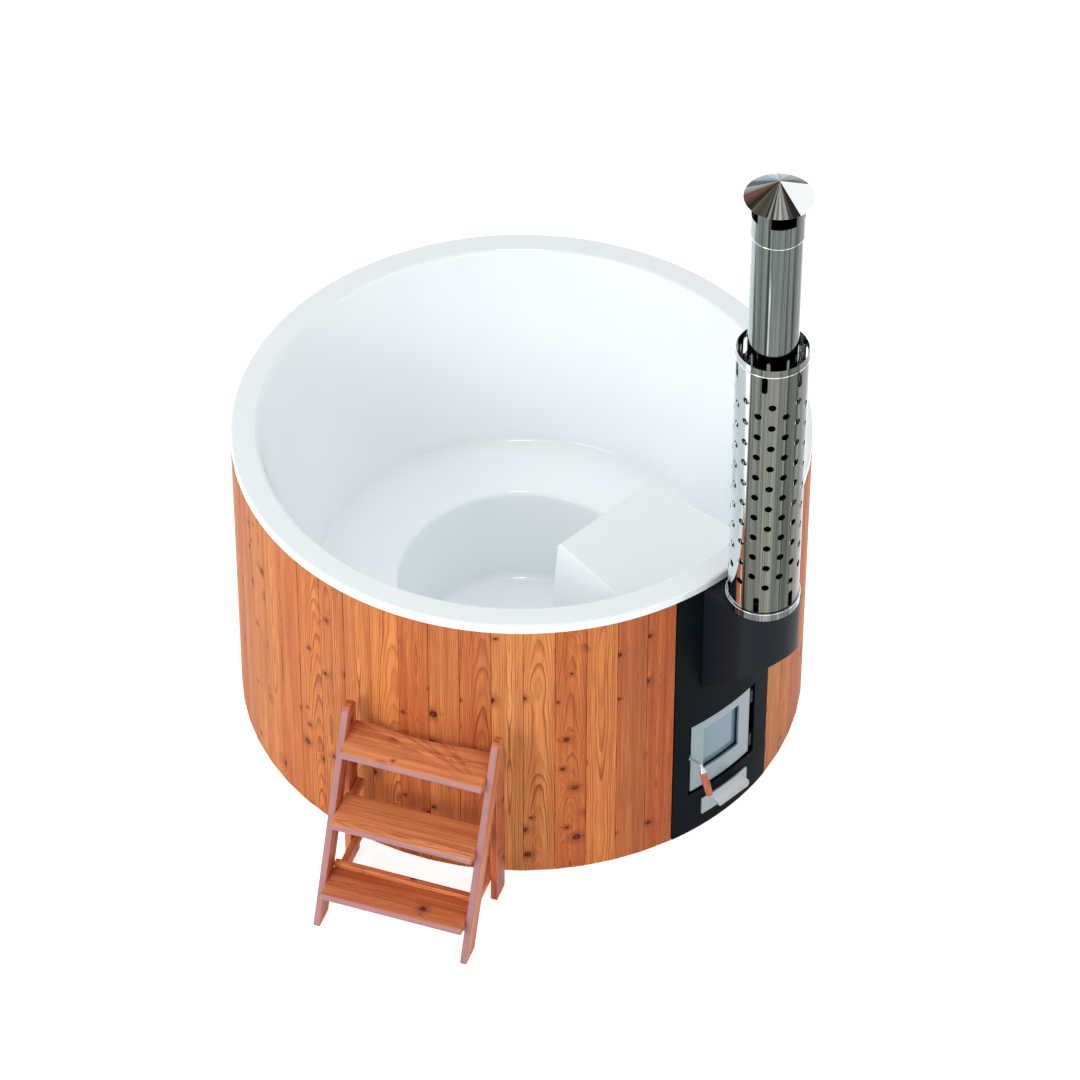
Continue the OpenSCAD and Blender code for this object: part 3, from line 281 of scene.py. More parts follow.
def make_wood_group():
    """Softwood sawn from a log: rings at a distance from a pith that leans through the board.

    Grain is a point in the board: across, depth and along. Seed tells the boards apart. The
    distance is longer round a knot, which bends the rings there. The ring's number is the
    distance over the ring's width, and its fraction darkens towards 1."""
    tree, given, out = new_group(
        "wood", Grain="Vector", Seed="Float", Light="Color", Dark="Color", Line="Color",
        Knot="Color", Ring="Float", Knots="Float")
    # in metres, and the lean is a slope
    pith_aside, pith_behind, pith_spread, pith_lean = 0.13, 0.012, 0.03, 0.055
    wander_aside, wander_behind, ring_wobble, knot_wobble = 0.008, 0.016, 0.0016, 0.0035
    knot_least, knot_spread, cells_per_m = 0.0045, 0.009, 8.5
    # in sizes of the knot, from its middle
    heart_edge, knot_edge, halo_edge, knot_bend = (0.15, 0.75), (0.7, 1.2), (0.7, 4.6), 2.2
    # shares of one
    line_from, line_till, line_least, line_spread = (0.38, 0.88), (0.91, 1.0), 0.24, 0.56
    dark_least, dark_spread, band_spread = 0.1, 0.8, 0.95
    fibre_dark, fibre_light, reddening = 0.72, 1.17, (0.04, 0.28, 0.44)
    stain_share, heart_least, heart_spread = 0.55, 0.58, 0.40

    def about(value, half):
        """A noise or a chance as a number from about -half to half."""
        return maths(tree, "MULTIPLY", centred(tree, value), 2 * half)

    def squared(value):
        return maths(tree, "MULTIPLY", value, value)

    def stretched(scale, along, detail=2.0, rough=0.5):
        """Noise of so many cells to the metre across the board, and a share of that along it."""
        drawn_out = vector_maths(tree, "MULTIPLY", place, (1.0, 1.0, along))
        return noise(tree, drawn_out, scale, detail, rough)

    first = chances(tree, drawn(tree, given["Seed"])["Color"])
    second = chances(tree, drawn(tree, maths(tree, "ADD", given["Seed"], 0.5))["Color"])
    # each board lies somewhere else in the noises
    shift = joined(tree, maths(tree, "MULTIPLY", given["Seed"], 3.71), 0.0,
                   maths(tree, "MULTIPLY", given["Seed"], 11.3))
    place = vector_maths(tree, "ADD", given["Grain"], shift)
    across, depth, along = split(tree, given["Grain"])

    # the pith: to one side of the board or the other, and behind its face
    side = about(first[0], 1.0)
    side = maths(tree, "MULTIPLY", squared(side), side)
    aside = maths(tree, "MULTIPLY_ADD", side, -pith_aside, across)
    aside = maths(tree, "ADD", about(stretched(3.0, 1.0), wander_aside), aside)
    behind = maths(tree, "MULTIPLY_ADD", first[1], pith_spread,
                   maths(tree, "ADD", depth, pith_behind))
    behind = maths(tree, "MULTIPLY_ADD", about(first[2], pith_lean), along, behind)
    behind = maths(tree, "ADD", about(stretched(5.0, 0.45), wander_behind), behind)
    radius = maths(tree, "SQRT", maths(tree, "ADD", squared(aside), squared(behind)))

    # knots: one chance in each cell of a flat pattern on the board's face
    moved = split(tree, place)
    cell = node(tree, "ShaderNodeTexVoronoi",
                {"Vector": joined(tree, moved[0], moved[2]), "Scale": cells_per_m},
                voronoi_dimensions="2D")
    luck = chances(tree, cell.outputs["Color"])
    away = maths(tree, "DIVIDE", cell.outputs["Distance"], cells_per_m)
    away = maths(tree, "ADD", about(stretched(110.0, 0.8), knot_wobble), away)
    there = maths(tree, "LESS_THAN", luck[0], maths(tree, "MULTIPLY", given["Knots"], second[0]))
    size = maths(tree, "MULTIPLY_ADD", squared(luck[1]), knot_spread, knot_least)
    near = maths(tree, "DIVIDE", away, size)
    knot = maths(tree, "MULTIPLY", remap(tree, near, *knot_edge, 1.0, 0.0), there)
    halo = maths(tree, "MULTIPLY", remap(tree, near, *halo_edge, 1.0, 0.0), there)

    # rings: each one's late wood is a line, as dark as its own chance makes it
    radius = maths(tree, "MULTIPLY_ADD", halo, maths(tree, "MULTIPLY", size, knot_bend), radius)
    radius = maths(tree, "ADD", about(stretched(45.0, 0.10, 3.0), ring_wobble), radius)
    count = maths(tree, "DIVIDE", radius, given["Ring"])
    turn = maths(tree, "FRACT", count)
    year = drawn(tree, maths(tree, "MULTIPLY_ADD", given["Seed"], 7.0,
                             maths(tree, "FLOOR", count)))["Value"]
    late = maths(tree, "MULTIPLY", remap(tree, turn, *line_from),
                 remap(tree, turn, *line_till, 1.0, 0.0))
    late = maths(tree, "MULTIPLY", late, maths(tree, "MULTIPLY_ADD", year, line_spread, line_least))

    # colour: light or dark in bands, then the lines, the fibres, the board's own hue and the knots
    fibre, band = stretched(650.0, 0.012, 3.0, 0.6), stretched(46.0, 0.03, 3.0, 0.6)
    tone = maths(tree, "ADD", maths(tree, "MULTIPLY_ADD", second[1], dark_spread, dark_least),
                 about(band, band_spread))
    body = blend_colour(tree, remap(tree, tone, 0.0, 1.0, smooth=False), given["Light"],
                        given["Dark"])
    body = blend_colour(tree, late, body, given["Line"])
    streak = remap(tree, fibre, 0.30, 0.70, fibre_dark, fibre_light, smooth=False)
    hues = [maths(tree, "MULTIPLY_ADD", second[2], -redden, 1.0 + redden / 2)
            for redden in reddening]
    body = tinted(tree, body, [maths(tree, "MULTIPLY", streak, hue) for hue in hues])
    stain = maths(tree, "MULTIPLY", squared(halo), stain_share)
    body = blend_colour(tree, stain, body, given["Line"])
    heart = maths(tree, "MULTIPLY_ADD", remap(tree, near, *heart_edge), heart_spread, heart_least)
    body = blend_colour(tree, maths(tree, "MULTIPLY", knot, heart), body, given["Knot"])

    # the lines are glossier, and with the fibres and the knots they stand up a little
    roughness = maths(tree, "MULTIPLY_ADD", late, -0.12, 0.56)
    height = maths(tree, "MULTIPLY_ADD", late, 0.6, maths(tree, "MULTIPLY", fibre, 0.5))
    put_out(tree, out, body, roughness, maths(tree, "MULTIPLY_ADD", knot, 0.5, height))
    return tree


def make_painted_reflection_group():
    """Mirror-polished sheet about an upright axis: painted reflections, in fine streaks and upright
    bands.

    Place is measured from the axis. With b the bearing, the turn is the fraction of
    (b - Turn) / pi + 1/2: it runs from 0 at the left edge to 1 at the right edge as seen from the
    bearing Turn, and again round the back. The sheet is bright up to the turn Band, pale again
    past Edge, dark at Line with a patchy glint beside it, and shaded about Shade."""
    tree, given, out = new_group(
        "streaks", Place="Vector", Turn="Float", Band="Float", Edge="Float", Line="Float",
        Shade="Float", Middle="Color", Bright="Color", Dark="Color", Fine="Float",
        Contrast="Float")
    # blurs, widths, the glint's offset and the waver are in the turn
    band_blur, edge_blur, edge_share, waver = 0.012, 0.04, 0.50, 0.06
    shade_width, shade_depth, line_width, line_share = 0.06, 0.38, 0.022, 0.75
    glint_width, glint_off, glint_share, glints_per_m = 0.013, 0.030, 0.8, 2.6
    wave_share, wave_tints, darkest = 2.1, (0.30, 0.0, -0.18), 0.12
    rise_share, streak_share = 0.30, 0.12
    bearing, outward, height = round_axis(tree, given["Place"])
    rise = joined(tree, z=maths(tree, "MULTIPLY", height, rise_share))
    spot = vector_maths(tree, "ADD", outward, rise)
    broad = centred(tree, noise(tree, spot, 3.0, 2.0))
    long_spot = vector_maths(tree, "MULTIPLY", spot, (1.0, 1.0, streak_share))
    fine = noise(tree, long_spot, given["Fine"], 4.0, 0.7)
    wave = centred(tree, noise(tree, long_spot, 11.0, 2.0, 0.6))
    turn = maths(tree, "MULTIPLY_ADD", maths(tree, "SUBTRACT", bearing, given["Turn"]),
                 1.0 / math.pi, 0.5)
    turn = maths(tree, "FRACT", maths(tree, "MULTIPLY_ADD", broad, waver, turn))

    def past(place, width):
        """0 before a turn and 1 past it."""
        return remap(tree, maths(tree, "SUBTRACT", turn, place), -width, width)

    def about(place, width):
        """1 at a turn and 0 at the width from it."""
        away = maths(tree, "ABSOLUTE", maths(tree, "SUBTRACT", turn, place))
        return remap(tree, away, 0.3 * width, width, 1.0, 0.0)

    # painted reflection: bright up to Band, and pale again past Edge
    bright = maths(tree, "SUBTRACT", 1.0, past(given["Band"], band_blur))
    edge = maths(tree, "MULTIPLY", past(given["Edge"], edge_blur), edge_share)
    ripple = maths(tree, "MULTIPLY_ADD", centred(tree, fine), given["Contrast"], 1.0)
    ripple = maths(tree, "MULTIPLY_ADD", wave, wave_share, ripple)
    # painted shade about Shade
    shaded = maths(tree, "MULTIPLY_ADD", about(given["Shade"], shade_width), -shade_depth, 1.0)
    ripple = maths(tree, "MULTIPLY", ripple, shaded)
    tints = [maths(tree, "MULTIPLY_ADD", wave, tint, ripple) for tint in wave_tints]
    body = tinted(tree, given["Middle"], [maths(tree, "MAXIMUM", own, darkest) for own in tints])
    # a painted dark reflection at Line, and a patchy painted glint beside it
    line = maths(tree, "MULTIPLY", about(given["Line"], line_width), line_share)
    body = blend_colour(tree, line, body, given["Dark"])
    up = joined(tree, z=maths(tree, "MULTIPLY", height, glints_per_m))
    patchy = remap(tree, noise(tree, up, 1.0, 1.0), 0.42, 0.58, 0.0, glint_share)
    glint = about(maths(tree, "ADD", given["Line"], glint_off), glint_width)
    body = blend_colour(tree, maths(tree, "MULTIPLY", glint, patchy), body, given["Bright"])
    body = blend_colour(tree, maths(tree, "MAXIMUM", bright, edge), body, given["Bright"])
    put_out(tree, out, body, remap(tree, fine, 0.3, 0.7, 0.04, 0.11), fine)
    return tree


WEDGES = 72.0
# the cap's painted reflections: a tint at each share of the turn round it
CAP_REFLECTION_TINTS = ((0.0, srgb(60, 56, 56)), (0.18, srgb(128, 120, 118)), (0.23, srgb(140, 142, 132)),
             (0.30, srgb(92, 88, 76)), (0.41, srgb(66, 63, 54)), (0.455, srgb(118, 72, 62)),
             (0.49, srgb(146, 160, 146)), (0.57, srgb(84, 102, 110)), (0.70, srgb(112, 136, 150)),
             (0.83, srgb(46, 54, 58)))  # a share of the whole turn, and the tint there
# each broad painted reflection wedge lies about the bearing Turn, within these cosines of the angle
# from it
BROAD_REFLECTION_WEDGES = ((0.52, 0.54, srgb(44, 40, 40)), (0.72, 0.735, srgb(246, 249, 250)))


def make_fan_reflection_group():
    """Polished cone with painted reflections: wedges that fan out from its tip, each of one tone.

    A broad painted white reflection, with near-black flanks, lies over them. Place is measured from
    the axis.
    The share is the turn from the bearing Turn leftwards, over a whole turn. It picks the tint,
    and with the cells of a one-way cell pattern along it the tone."""
    tree, given, out = new_group("fan", Place="Vector", Turn="Float")
    tone_middle, tone_spread, tone_ripple, tone_low, tone_high = 0.98, 1.7, 0.8, 0.16, 2.0
    bearing, outward, _ = round_axis(tree, given["Place"])
    turned = maths(tree, "SUBTRACT", given["Turn"], bearing)
    share = maths(tree, "FRACT", maths(tree, "DIVIDE", turned, 2 * math.pi))
    wedge = node(tree, "ShaderNodeTexVoronoi",
                 {"W": maths(tree, "MULTIPLY", share, WEDGES), "Scale": 1.0},
                 voronoi_dimensions="1D")
    chance = chances(tree, wedge.outputs["Color"])
    narrow = noise(tree, outward, 30.0, 3.0, 0.7)
    tints = node(tree, "ShaderNodeValToRGB",
                 {0: maths(tree, "MULTIPLY_ADD", centred(tree, chance[1]), 0.05, share)})
    while len(tints.color_ramp.elements) < len(CAP_REFLECTION_TINTS):
        tints.color_ramp.elements.new(0.5)
    for stop, (place, colour) in zip(tints.color_ramp.elements, CAP_REFLECTION_TINTS):
        stop.position, stop.color = place, colour
    tone = maths(tree, "MULTIPLY_ADD", centred(tree, chance[0]), tone_spread, tone_middle)
    tone = maths(tree, "MULTIPLY_ADD", centred(tree, narrow), tone_ripple, tone)
    tone = node(tree, "ShaderNodeClamp", {0: tone, 1: tone_low, 2: tone_high}).outputs[0]
    body = tinted(tree, tints.outputs["Color"], [tone] * 3)
    nearness = maths(tree, "COSINE", maths(tree, "SUBTRACT", bearing, given["Turn"]))
    for low, high, colour in BROAD_REFLECTION_WEDGES:
        body = blend_colour(tree, remap(tree, nearness, low, high), body, colour)
    put_out(tree, out, body, remap(tree, narrow, 0.3, 0.7, 0.05, 0.12), narrow)
    return tree


def make_speckle_group():
    """Small wandering changes of tone over painted, cast or moulded surfaces."""
    tree, given, out = new_group("speckle", Place="Vector", Base="Color", Other="Color",
                                 Grain="Float", Low="Float", High="Float")
    soft = noise(tree, given["Place"], 3.0, 3.0)
    fine = noise(tree, given["Place"], given["Grain"], 2.0)
    share = maths(tree, "MULTIPLY_ADD", fine, 0.4, remap(tree, soft, 0.3, 0.7, 0.0, 0.6))
    put_out(tree, out, blend_colour(tree, share, given["Base"], given["Other"]),
            remap(tree, soft, 0.3, 0.7, given["Low"], given["High"], smooth=False), fine)
    return tree


WOOD, PAINTED_REFLECTIONS = make_wood_group(), make_painted_reflection_group()
FAN_REFLECTIONS, SPECKLE = make_fan_reflection_group(), make_speckle_group()


# ---- materials ----
def surface(name, group, values, bump, **plain):
    """A material: a shared effect feeds colour, roughness and bump.

    Values makes the effect's inputs in the material's tree, bump is a strength and a distance,
    and plain values go straight on the shader."""
    material = bpy.data.materials.new(name)
    material.use_nodes = True
    tree = material.node_tree
    shader = tree.nodes["Principled BSDF"]
    effect = node(tree, "ShaderNodeGroup", values(tree), node_tree=group).outputs
    tree.links.new(effect["Color"], shader.inputs["Base Color"])
    tree.links.new(effect["Roughness"], shader.inputs["Roughness"])
    relief = node(tree, "ShaderNodeBump", {"Strength": bump[0], "Distance": bump[1],
                                            "Height": effect["Height"]})
    tree.links.new(relief.outputs[0], shader.inputs["Normal"])
    for key, value in plain.items():
        shader.inputs[key.replace("_", " ")].default_value = value
    return material


def timber(name, light, dark, line, knot, ring, knots, **plain):
    """Wood on a piece whose mesh carries its grain coordinates and the number of each board."""
    return surface(name, WOOD, lambda tree: {
        "Grain": node(tree, "ShaderNodeAttribute", attribute_name="grain").outputs["Vector"],
        "Seed": node(tree, "ShaderNodeAttribute", attribute_name="seed").outputs["Fac"],
        "Light": light, "Dark": dark, "Line": line, "Knot": knot, "Ring": ring,
        "Knots": knots}, (0.35, 0.0006), **plain)


def plain_timber(name, light, dark, line, knot=srgb(70, 40, 22), ring=0.006, knots=0.3,
                 turned=(0.0, math.pi / 2, 0.0), **plain):
    """Wood on a plain CAD piece: its grain runs along X, or where the turn takes it."""
    return surface(name, WOOD, lambda tree: {
        "Grain": node(tree, "ShaderNodeMapping", {"Vector": object_place(tree),
                                                   "Rotation": turned}).outputs[0],
        "Seed": 7.0, "Light": light, "Dark": dark, "Line": line, "Knot": knot, "Ring": ring,
        "Knots": knots}, (0.3, 0.0006), **plain)


def rolled(name, middle, bright, band=0.19, edge=0.86, line=0.38, shade=0.70, fine=24.0,
           contrast=2.2):
    """Mirror-polished steel rolled about the flue's axis, its painted reflection bands as they
    stand in the photo.
    """
    return surface(name, PAINTED_REFLECTIONS, lambda tree: {
        "Place": object_place(tree, FLUE_AXIS), "Turn": CAMERA_SIDE, "Band": band, "Edge": edge,
        "Line": line, "Shade": shade, "Middle": middle, "Bright": bright,
        "Dark": srgb(40, 44, 44), "Fine": fine, "Contrast": contrast}, (0.02, 0.0002),
        Metallic=1.0)


def speckled(name, base, other, grain, low, high, bump=(0.05, 0.0003), **plain):
    """Paint, casting or moulding with small changes of tone, of a roughness from low to high."""
    return surface(name, SPECKLE, lambda tree: {
        "Place": object_place(tree), "Base": base, "Other": other, "Grain": grain, "Low": low,
        "High": high}, bump, **plain)


def repainted(material, mask_of, colour):
    """Moves a material's base colour to another by a mask, made from object place and normal."""
    tree = material.node_tree
    base = tree.nodes["Principled BSDF"].inputs["Base Color"]
    coordinates = node(tree, "ShaderNodeTexCoord").outputs
    mask = mask_of(tree, coordinates["Object"], coordinates["Normal"])
    tree.links.new(blend_colour(tree, mask, base.links[0].from_socket, colour), base)
    return material


def painted_sheen_where_facing(material, ahead, colour, share):
    """Pales a piece where it faces a direction: painted sheen, as on the pull's top and the steps'
    worn fronts.
    """
    def facing(tree, _, normal):
        return remap(tree, measured(tree, "DOT_PRODUCT", normal, ahead), 0.25, 0.95, 0.0, share)
    return repainted(material, facing, colour)


def painted_shade_on_tops(material, level, colour):
    """Darkens a moulding with painted shade where it faces up above a level, and round the lip's
    edge.
    """
    def painted_shade_mask(tree, place, normal):
        up, height = split(tree, normal)[2], split(tree, place)[2]
        top = maths(tree, "MULTIPLY", remap(tree, up, 0.3, 0.95),
                    maths(tree, "GREATER_THAN", height, level))
        lip = maths(tree, "GREATER_THAN", off_axis(tree, place), RIM_R + 0.001)
        return maths(tree, "MAXIMUM", top, lip)
    return repainted(material, painted_shade_mask, colour)


def blackened(material, least, most, colour):
    """Blackens a door frame nearer the tub's axis than least, and paints shade on its hinge, at x
    over most.
    """
    def hidden(tree, place, _):
        back = maths(tree, "LESS_THAN", off_axis(tree, place), least)
        return maths(tree, "MAXIMUM", back,
                     maths(tree, "GREATER_THAN", split(tree, place)[0], most))
    return repainted(material, hidden, colour)


def steps_board(name):
    """The steps' oiled softwood."""
    return timber(name, srgb(252, 164, 104), srgb(188, 94, 58), srgb(108, 40, 24),
                  srgb(52, 22, 16), 0.0044, 0.8, Coat_Weight=0.12, Coat_Roughness=0.3,
                  Specular_IOR_Level=0.3)


M = {
    "wall_timber": timber("wall_timber", srgb(232, 148, 82), srgb(186, 94, 52),
                          srgb(112, 36, 20), srgb(38, 14, 12), 0.0045, 0.80,
                          Specular_IOR_Level=0.15),
    "steps_timber": steps_board("steps_timber"),
    # paler where they face outwards: wear with a painted sheen
    "steps_wear_and_painted_sheen": painted_sheen_where_facing(steps_board("steps_wear_and_painted_sheen"), STEPS_AHEAD,
                                srgb(166, 128, 136), 0.78),
    "frame_timber": plain_timber("frame_timber", srgb(205, 170, 120), srgb(180, 140, 92),
                                 srgb(150, 105, 62)),
    "batten_timber": plain_timber("batten_timber", srgb(30, 28, 27), srgb(24, 22, 21),
                                  srgb(14, 13, 13)),
    # the liner's tops above 0.80 m and its lip get painted shade
    "liner": painted_shade_on_tops(speckled("liner_gelcoat", srgb(249, 253, 254), srgb(246, 251, 253), 12.0,
                             0.10, 0.16, bump=(0.01, 0.0002), Coat_Weight=0.5,
                             Coat_Roughness=0.05), 0.80, srgb(231, 237, 238)),
    "black": speckled("black_enamel", srgb(10, 18, 21), srgb(14, 23, 27), 160.0, 0.40, 0.50,
                      Specular_IOR_Level=0.02),
    "housing": speckled("housing_enamel", srgb(16, 24, 31), srgb(22, 30, 37), 160.0, 0.36, 0.46,
                        Specular_IOR_Level=0.10),
    "stove": speckled("stove_plate", srgb(84, 85, 87), srgb(66, 66, 68), 40.0, 0.45, 0.65,
                      Metallic=0.8),
    "collar_steel": speckled("black_plate", srgb(20, 21, 23), srgb(28, 28, 30), 60.0, 0.5, 0.7),
    "grate": speckled("grate_casting", srgb(38, 38, 40), srgb(60, 55, 50), 220.0, 0.6, 0.85,
                      bump=(0.4, 0.0008), Metallic=0.4),
    "satin": speckled("satin_steel", srgb(148, 162, 168), srgb(160, 174, 180), 60.0, 0.34, 0.42,
                      Metallic=0.5),
    # the door's hinge gets painted shade
    "door": blackened(speckled("door_steel", srgb(136, 151, 157), srgb(148, 162, 168), 60.0,
                               0.34, 0.42, Metallic=0.5), 0.8895, 0.1165, srgb(12, 15, 17)),
    # a painted highlight on the pull's top
    "pull": painted_sheen_where_facing(speckled("pull_steel", srgb(150, 166, 170), srgb(138, 154, 158), 30.0,
                              0.30, 0.40, bump=(0.01, 0.0002), Metallic=0.1),
                     (0.0, -0.3, 0.95), srgb(248, 252, 253), 0.9),
    "bright": speckled("bright_steel", srgb(214, 220, 222), srgb(204, 211, 214), 40.0, 0.22,
                       0.28, bump=(0.01, 0.0002), Metallic=0.7),
    "seal": speckled("seal_cord", srgb(10, 11, 12), srgb(18, 18, 20), 500.0, 0.75, 0.95,
                     bump=(0.5, 0.001)),
    "foam": speckled("insulation_foam", srgb(228, 218, 184), srgb(214, 202, 160), 200.0, 0.8,
                     0.95, bump=(0.4, 0.001)),
    "pipe": speckled("pipe_plastic", srgb(206, 208, 206), srgb(196, 198, 196), 60.0, 0.35, 0.45),
    "brass": speckled("valve_brass", srgb(205, 170, 98), srgb(184, 148, 80), 80.0, 0.25, 0.4,
                      Metallic=1.0),
    "lever": speckled("lever_enamel", srgb(166, 42, 32), srgb(150, 34, 26), 80.0, 0.3, 0.45),
    # the flue's steels, its collar and its beads carry painted reflections in their base colour
    "pipe_mirror": rolled("flue_mirror", srgb(88, 94, 91), srgb(216, 226, 226), band=0.165,
                          edge=0.90, shade=0.74, contrast=3.6),
    "shield_mirror": rolled("shield_mirror", srgb(96, 99, 90), srgb(224, 232, 234), band=0.285,
                            edge=0.94, line=1.5, shade=0.68, contrast=2.8),
    # the cap's wedges are painted reflections
    "cap_mirror": surface("cap_mirror", FAN_REFLECTIONS, lambda tree: {
        "Place": object_place(tree, FLUE_AXIS), "Turn": CAMERA_SIDE + CAP_REFLECTION_TURN},
        (0.02, 0.0002), Metallic=1.0),
    "trim_mirror": rolled("trim_mirror", srgb(108, 112, 112), srgb(204, 210, 212), line=1.5,
                          fine=110.0, contrast=5.0),
    "bead_mirror": rolled("bead_mirror", srgb(226, 230, 230), srgb(246, 248, 248), line=1.5,
                          contrast=0.8),
    # fire glass: a cool tint, a clear gloss, and a view of the fire chamber behind it
    "glass": speckled("window_glass", srgb(144, 178, 196), srgb(132, 166, 184), 6.0, 0.04, 0.08,
                      bump=(0.0, 0.0001), IOR=1.47, Transmission_Weight=0.30,
                      Specular_IOR_Level=0.8),
    "grip": plain_timber("grip_wood", srgb(222, 120, 84), srgb(186, 90, 60), srgb(116, 48, 32),
                         srgb(96, 40, 26), 0.0020, 0.0, (0.0, 0.0, 0.0), Coat_Weight=0.2,
                         Coat_Roughness=0.3),
}


# ---- mesh makers ----
def grid_faces(nu, nv, wrap_v=False):
    """Quads over an nu by nv grid of points, closed round along u, and along v if asked."""
    a, b = np.meshgrid(np.arange(nu), np.arange(nv if wrap_v else nv - 1), indexing="ij")
    a1, b1 = (a + 1) % nu, (b + 1) % nv
    return np.stack([a * nv + b, a1 * nv + b, a1 * nv + b1, a * nv + b1], -1).reshape(-1, 4)


def capped_faces(n, k):
    """Faces of an outline of n points carried through k rings: its sides and its two ends."""
    sides = [tuple(face) for face in grid_faces(n, k)]
    return sides + [tuple(range(0, n * k, k)), tuple(range(n * k - 1, -1, -k))]


def write_grain(mesh, vectors, seeds):
    """Writes each point's grain coordinates and its board's number on a mesh."""
    mesh.attributes.new("grain", "FLOAT_VECTOR", "POINT").data.foreach_set(
        "vector", np.ascontiguousarray(vectors, np.float32).ravel())
    mesh.attributes.new("seed", "FLOAT", "POINT").data.foreach_set(
        "value", np.ascontiguousarray(seeds, np.float32))


def finish_mesh(work, mesh, sharp, material):
    """Writes the worked mesh back, shades it smooth up to an angle and gives it its material."""
    work.to_mesh(mesh)
    work.free()
    mesh.shade_smooth()
    mesh.set_sharp_from_angle(angle=math.radians(sharp))
    mesh.materials.append(material)


def piece(name, points, faces, body, material, sharp, nodes=(), grain=None):
    """Makes one closed piece: welds its doubles, turns its faces outwards and shades it."""
    mesh = bpy.data.meshes.new(name)
    mesh.from_pydata(np.asarray(points).reshape(-1, 3).tolist(), [], [list(f) for f in faces])
    if grain:
        write_grain(mesh, *grain)
    work = bmesh.new()
    work.from_mesh(mesh)
    bmesh.ops.remove_doubles(work, verts=work.verts, dist=1e-5)
    bmesh.ops.recalc_face_normals(work, faces=work.faces)
    finish_mesh(work, mesh, sharp, material)
    made = add_object(name, mesh)
    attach(made, body)
    if nodes:
        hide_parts(*nodes)
    return made


def bevelled(made, width):
    """Rounds a piece's edges with a Bevel modifier."""
    modifier = made.modifiers.new("edge", "BEVEL")
    modifier.width, modifier.segments = width, 3
    modifier.limit_method, modifier.angle_limit = "ANGLE", math.radians(40.0)
    modifier.harden_normals = False


def fillet(points, radii, steps):
    """An outline whose corners are rounded: each becomes an arc tangent to both of its sides."""
    points = np.asarray(points, float)
    made = []
    for i, (corner, radius) in enumerate(zip(points, radii)):
        before, after = points[i - 1], points[(i + 1) % len(points)]
        u = (before - corner) / np.linalg.norm(before - corner)
        v = (after - corner) / np.linalg.norm(after - corner)
        half = math.acos(np.clip(u @ v, -1, 1)) / 2
        centre = corner + (u + v) / np.linalg.norm(u + v) * radius / math.sin(half)
        a0 = np.arctan2(*(corner + u * radius / math.tan(half) - centre)[::-1])
        a1 = np.arctan2(*(corner + v * radius / math.tan(half) - centre)[::-1])
        sweep = (a1 - a0 + math.pi) % (2 * math.pi) - math.pi
        angles = a0 + sweep * np.linspace(0, 1, steps + 1)
        made.append(centre + radius * np.stack([np.cos(angles), np.sin(angles)], -1))
    return np.concatenate(made)


# ---- shading of the CAD's own surfaces ----
ALIKE = 0.82        # the dot product of two normals over which calm_normals joins them


def corner_arrays(mesh):
    """For each face corner: its vertex, its face's normal and area, and its shading normal."""
    loops, faces = len(mesh.loops), len(mesh.polygons)
    vertex, count = np.empty(loops, np.int32), np.empty(faces, np.int32)
    normal, area = np.empty(faces * 3, np.float32), np.empty(faces, np.float32)
    shading = np.empty(loops * 3, np.float32)
    mesh.loops.foreach_get("vertex_index", vertex)
    mesh.polygons.foreach_get("loop_total", count)
    mesh.polygons.foreach_get("normal", normal)
    mesh.polygons.foreach_get("area", area)
    mesh.corner_normals.foreach_get("vector", shading)
    return (vertex, np.repeat(normal.reshape(-1, 3), count, 0), np.repeat(area, count),
            shading.reshape(-1, 3))


def vertex_places(mesh):
    """The places of a mesh's vertices."""
    place = np.empty(len(mesh.vertices) * 3, np.float32)
    mesh.vertices.foreach_get("co", place)
    return place.reshape(-1, 3)


def calm_normals(mesh, alike):
    """Large faces keep their own normal.

    A corner takes the mean, weighed by area, of the normals of the faces round its vertex that
    are like its own face's: the dot product of the two is over alike."""
    vertex, normal, area, _ = corner_arrays(mesh)
    order = np.argsort(vertex, kind="stable")
    first = np.searchsorted(vertex[order], vertex)
    count = np.bincount(vertex)[vertex]
    mean = np.zeros_like(normal)
    for number in range(count.max()):
        there = number < count
        other = order[np.where(there, first + number, first)]
        like = there & ((normal[other] * normal).sum(1) > alike)
        mean += normal[other] * (area[other] * like)[:, None]
    mean /= np.maximum(np.linalg.norm(mean, axis=1, keepdims=True), 1e-12)
    mesh.normals_split_custom_set(mean.tolist())


def radial_normals(mesh, centre):
    """Round walls get exact normals: the level direction from the axis, if they stand square."""
    square_on = 0.97
    corner_of, normal, _, shading = corner_arrays(mesh)
    outward = vertex_places(mesh)[corner_of] - np.array(centre, np.float32)
    outward[:, 2] = 0.0
    outward /= np.maximum(np.linalg.norm(outward, axis=1, keepdims=True), 1e-6)
    square = (normal * outward).sum(1)[:, None]
    exact = np.where(np.abs(square) > square_on, np.sign(square) * outward, shading)
    mesh.normals_split_custom_set(exact.tolist())


def smooth_copy(names, label, body, material, sharp=30.0, bevel=None, axis=None,
                grain=None, alike=ALIKE):
    """The CAD nodes' own surfaces in one mesh, welded and shaded smooth.

    For shapes that are already right. A round one is given its axis, a board its bevel and its
    grain, and all others get calm normals."""
    work = bmesh.new()
    for name in names:
        work.from_mesh(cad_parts[name].data)
    bmesh.ops.remove_doubles(work, verts=work.verts, dist=1e-6)
    bmesh.ops.dissolve_limit(work, angle_limit=math.radians(0.05), verts=work.verts,
                             edges=work.edges)
    mesh = bpy.data.meshes.new(label)
    finish_mesh(work, mesh, sharp, material)
    if grain:
        write_grain(mesh, *grain(vertex_places(mesh)))
    if axis is not None:
        radial_normals(mesh, axis)
    elif not bevel:
        calm_normals(mesh, alike)
    made = add_object(label, mesh)
    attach(made, body)
    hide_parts(*names)
    if bevel:
        bevelled(made, bevel)


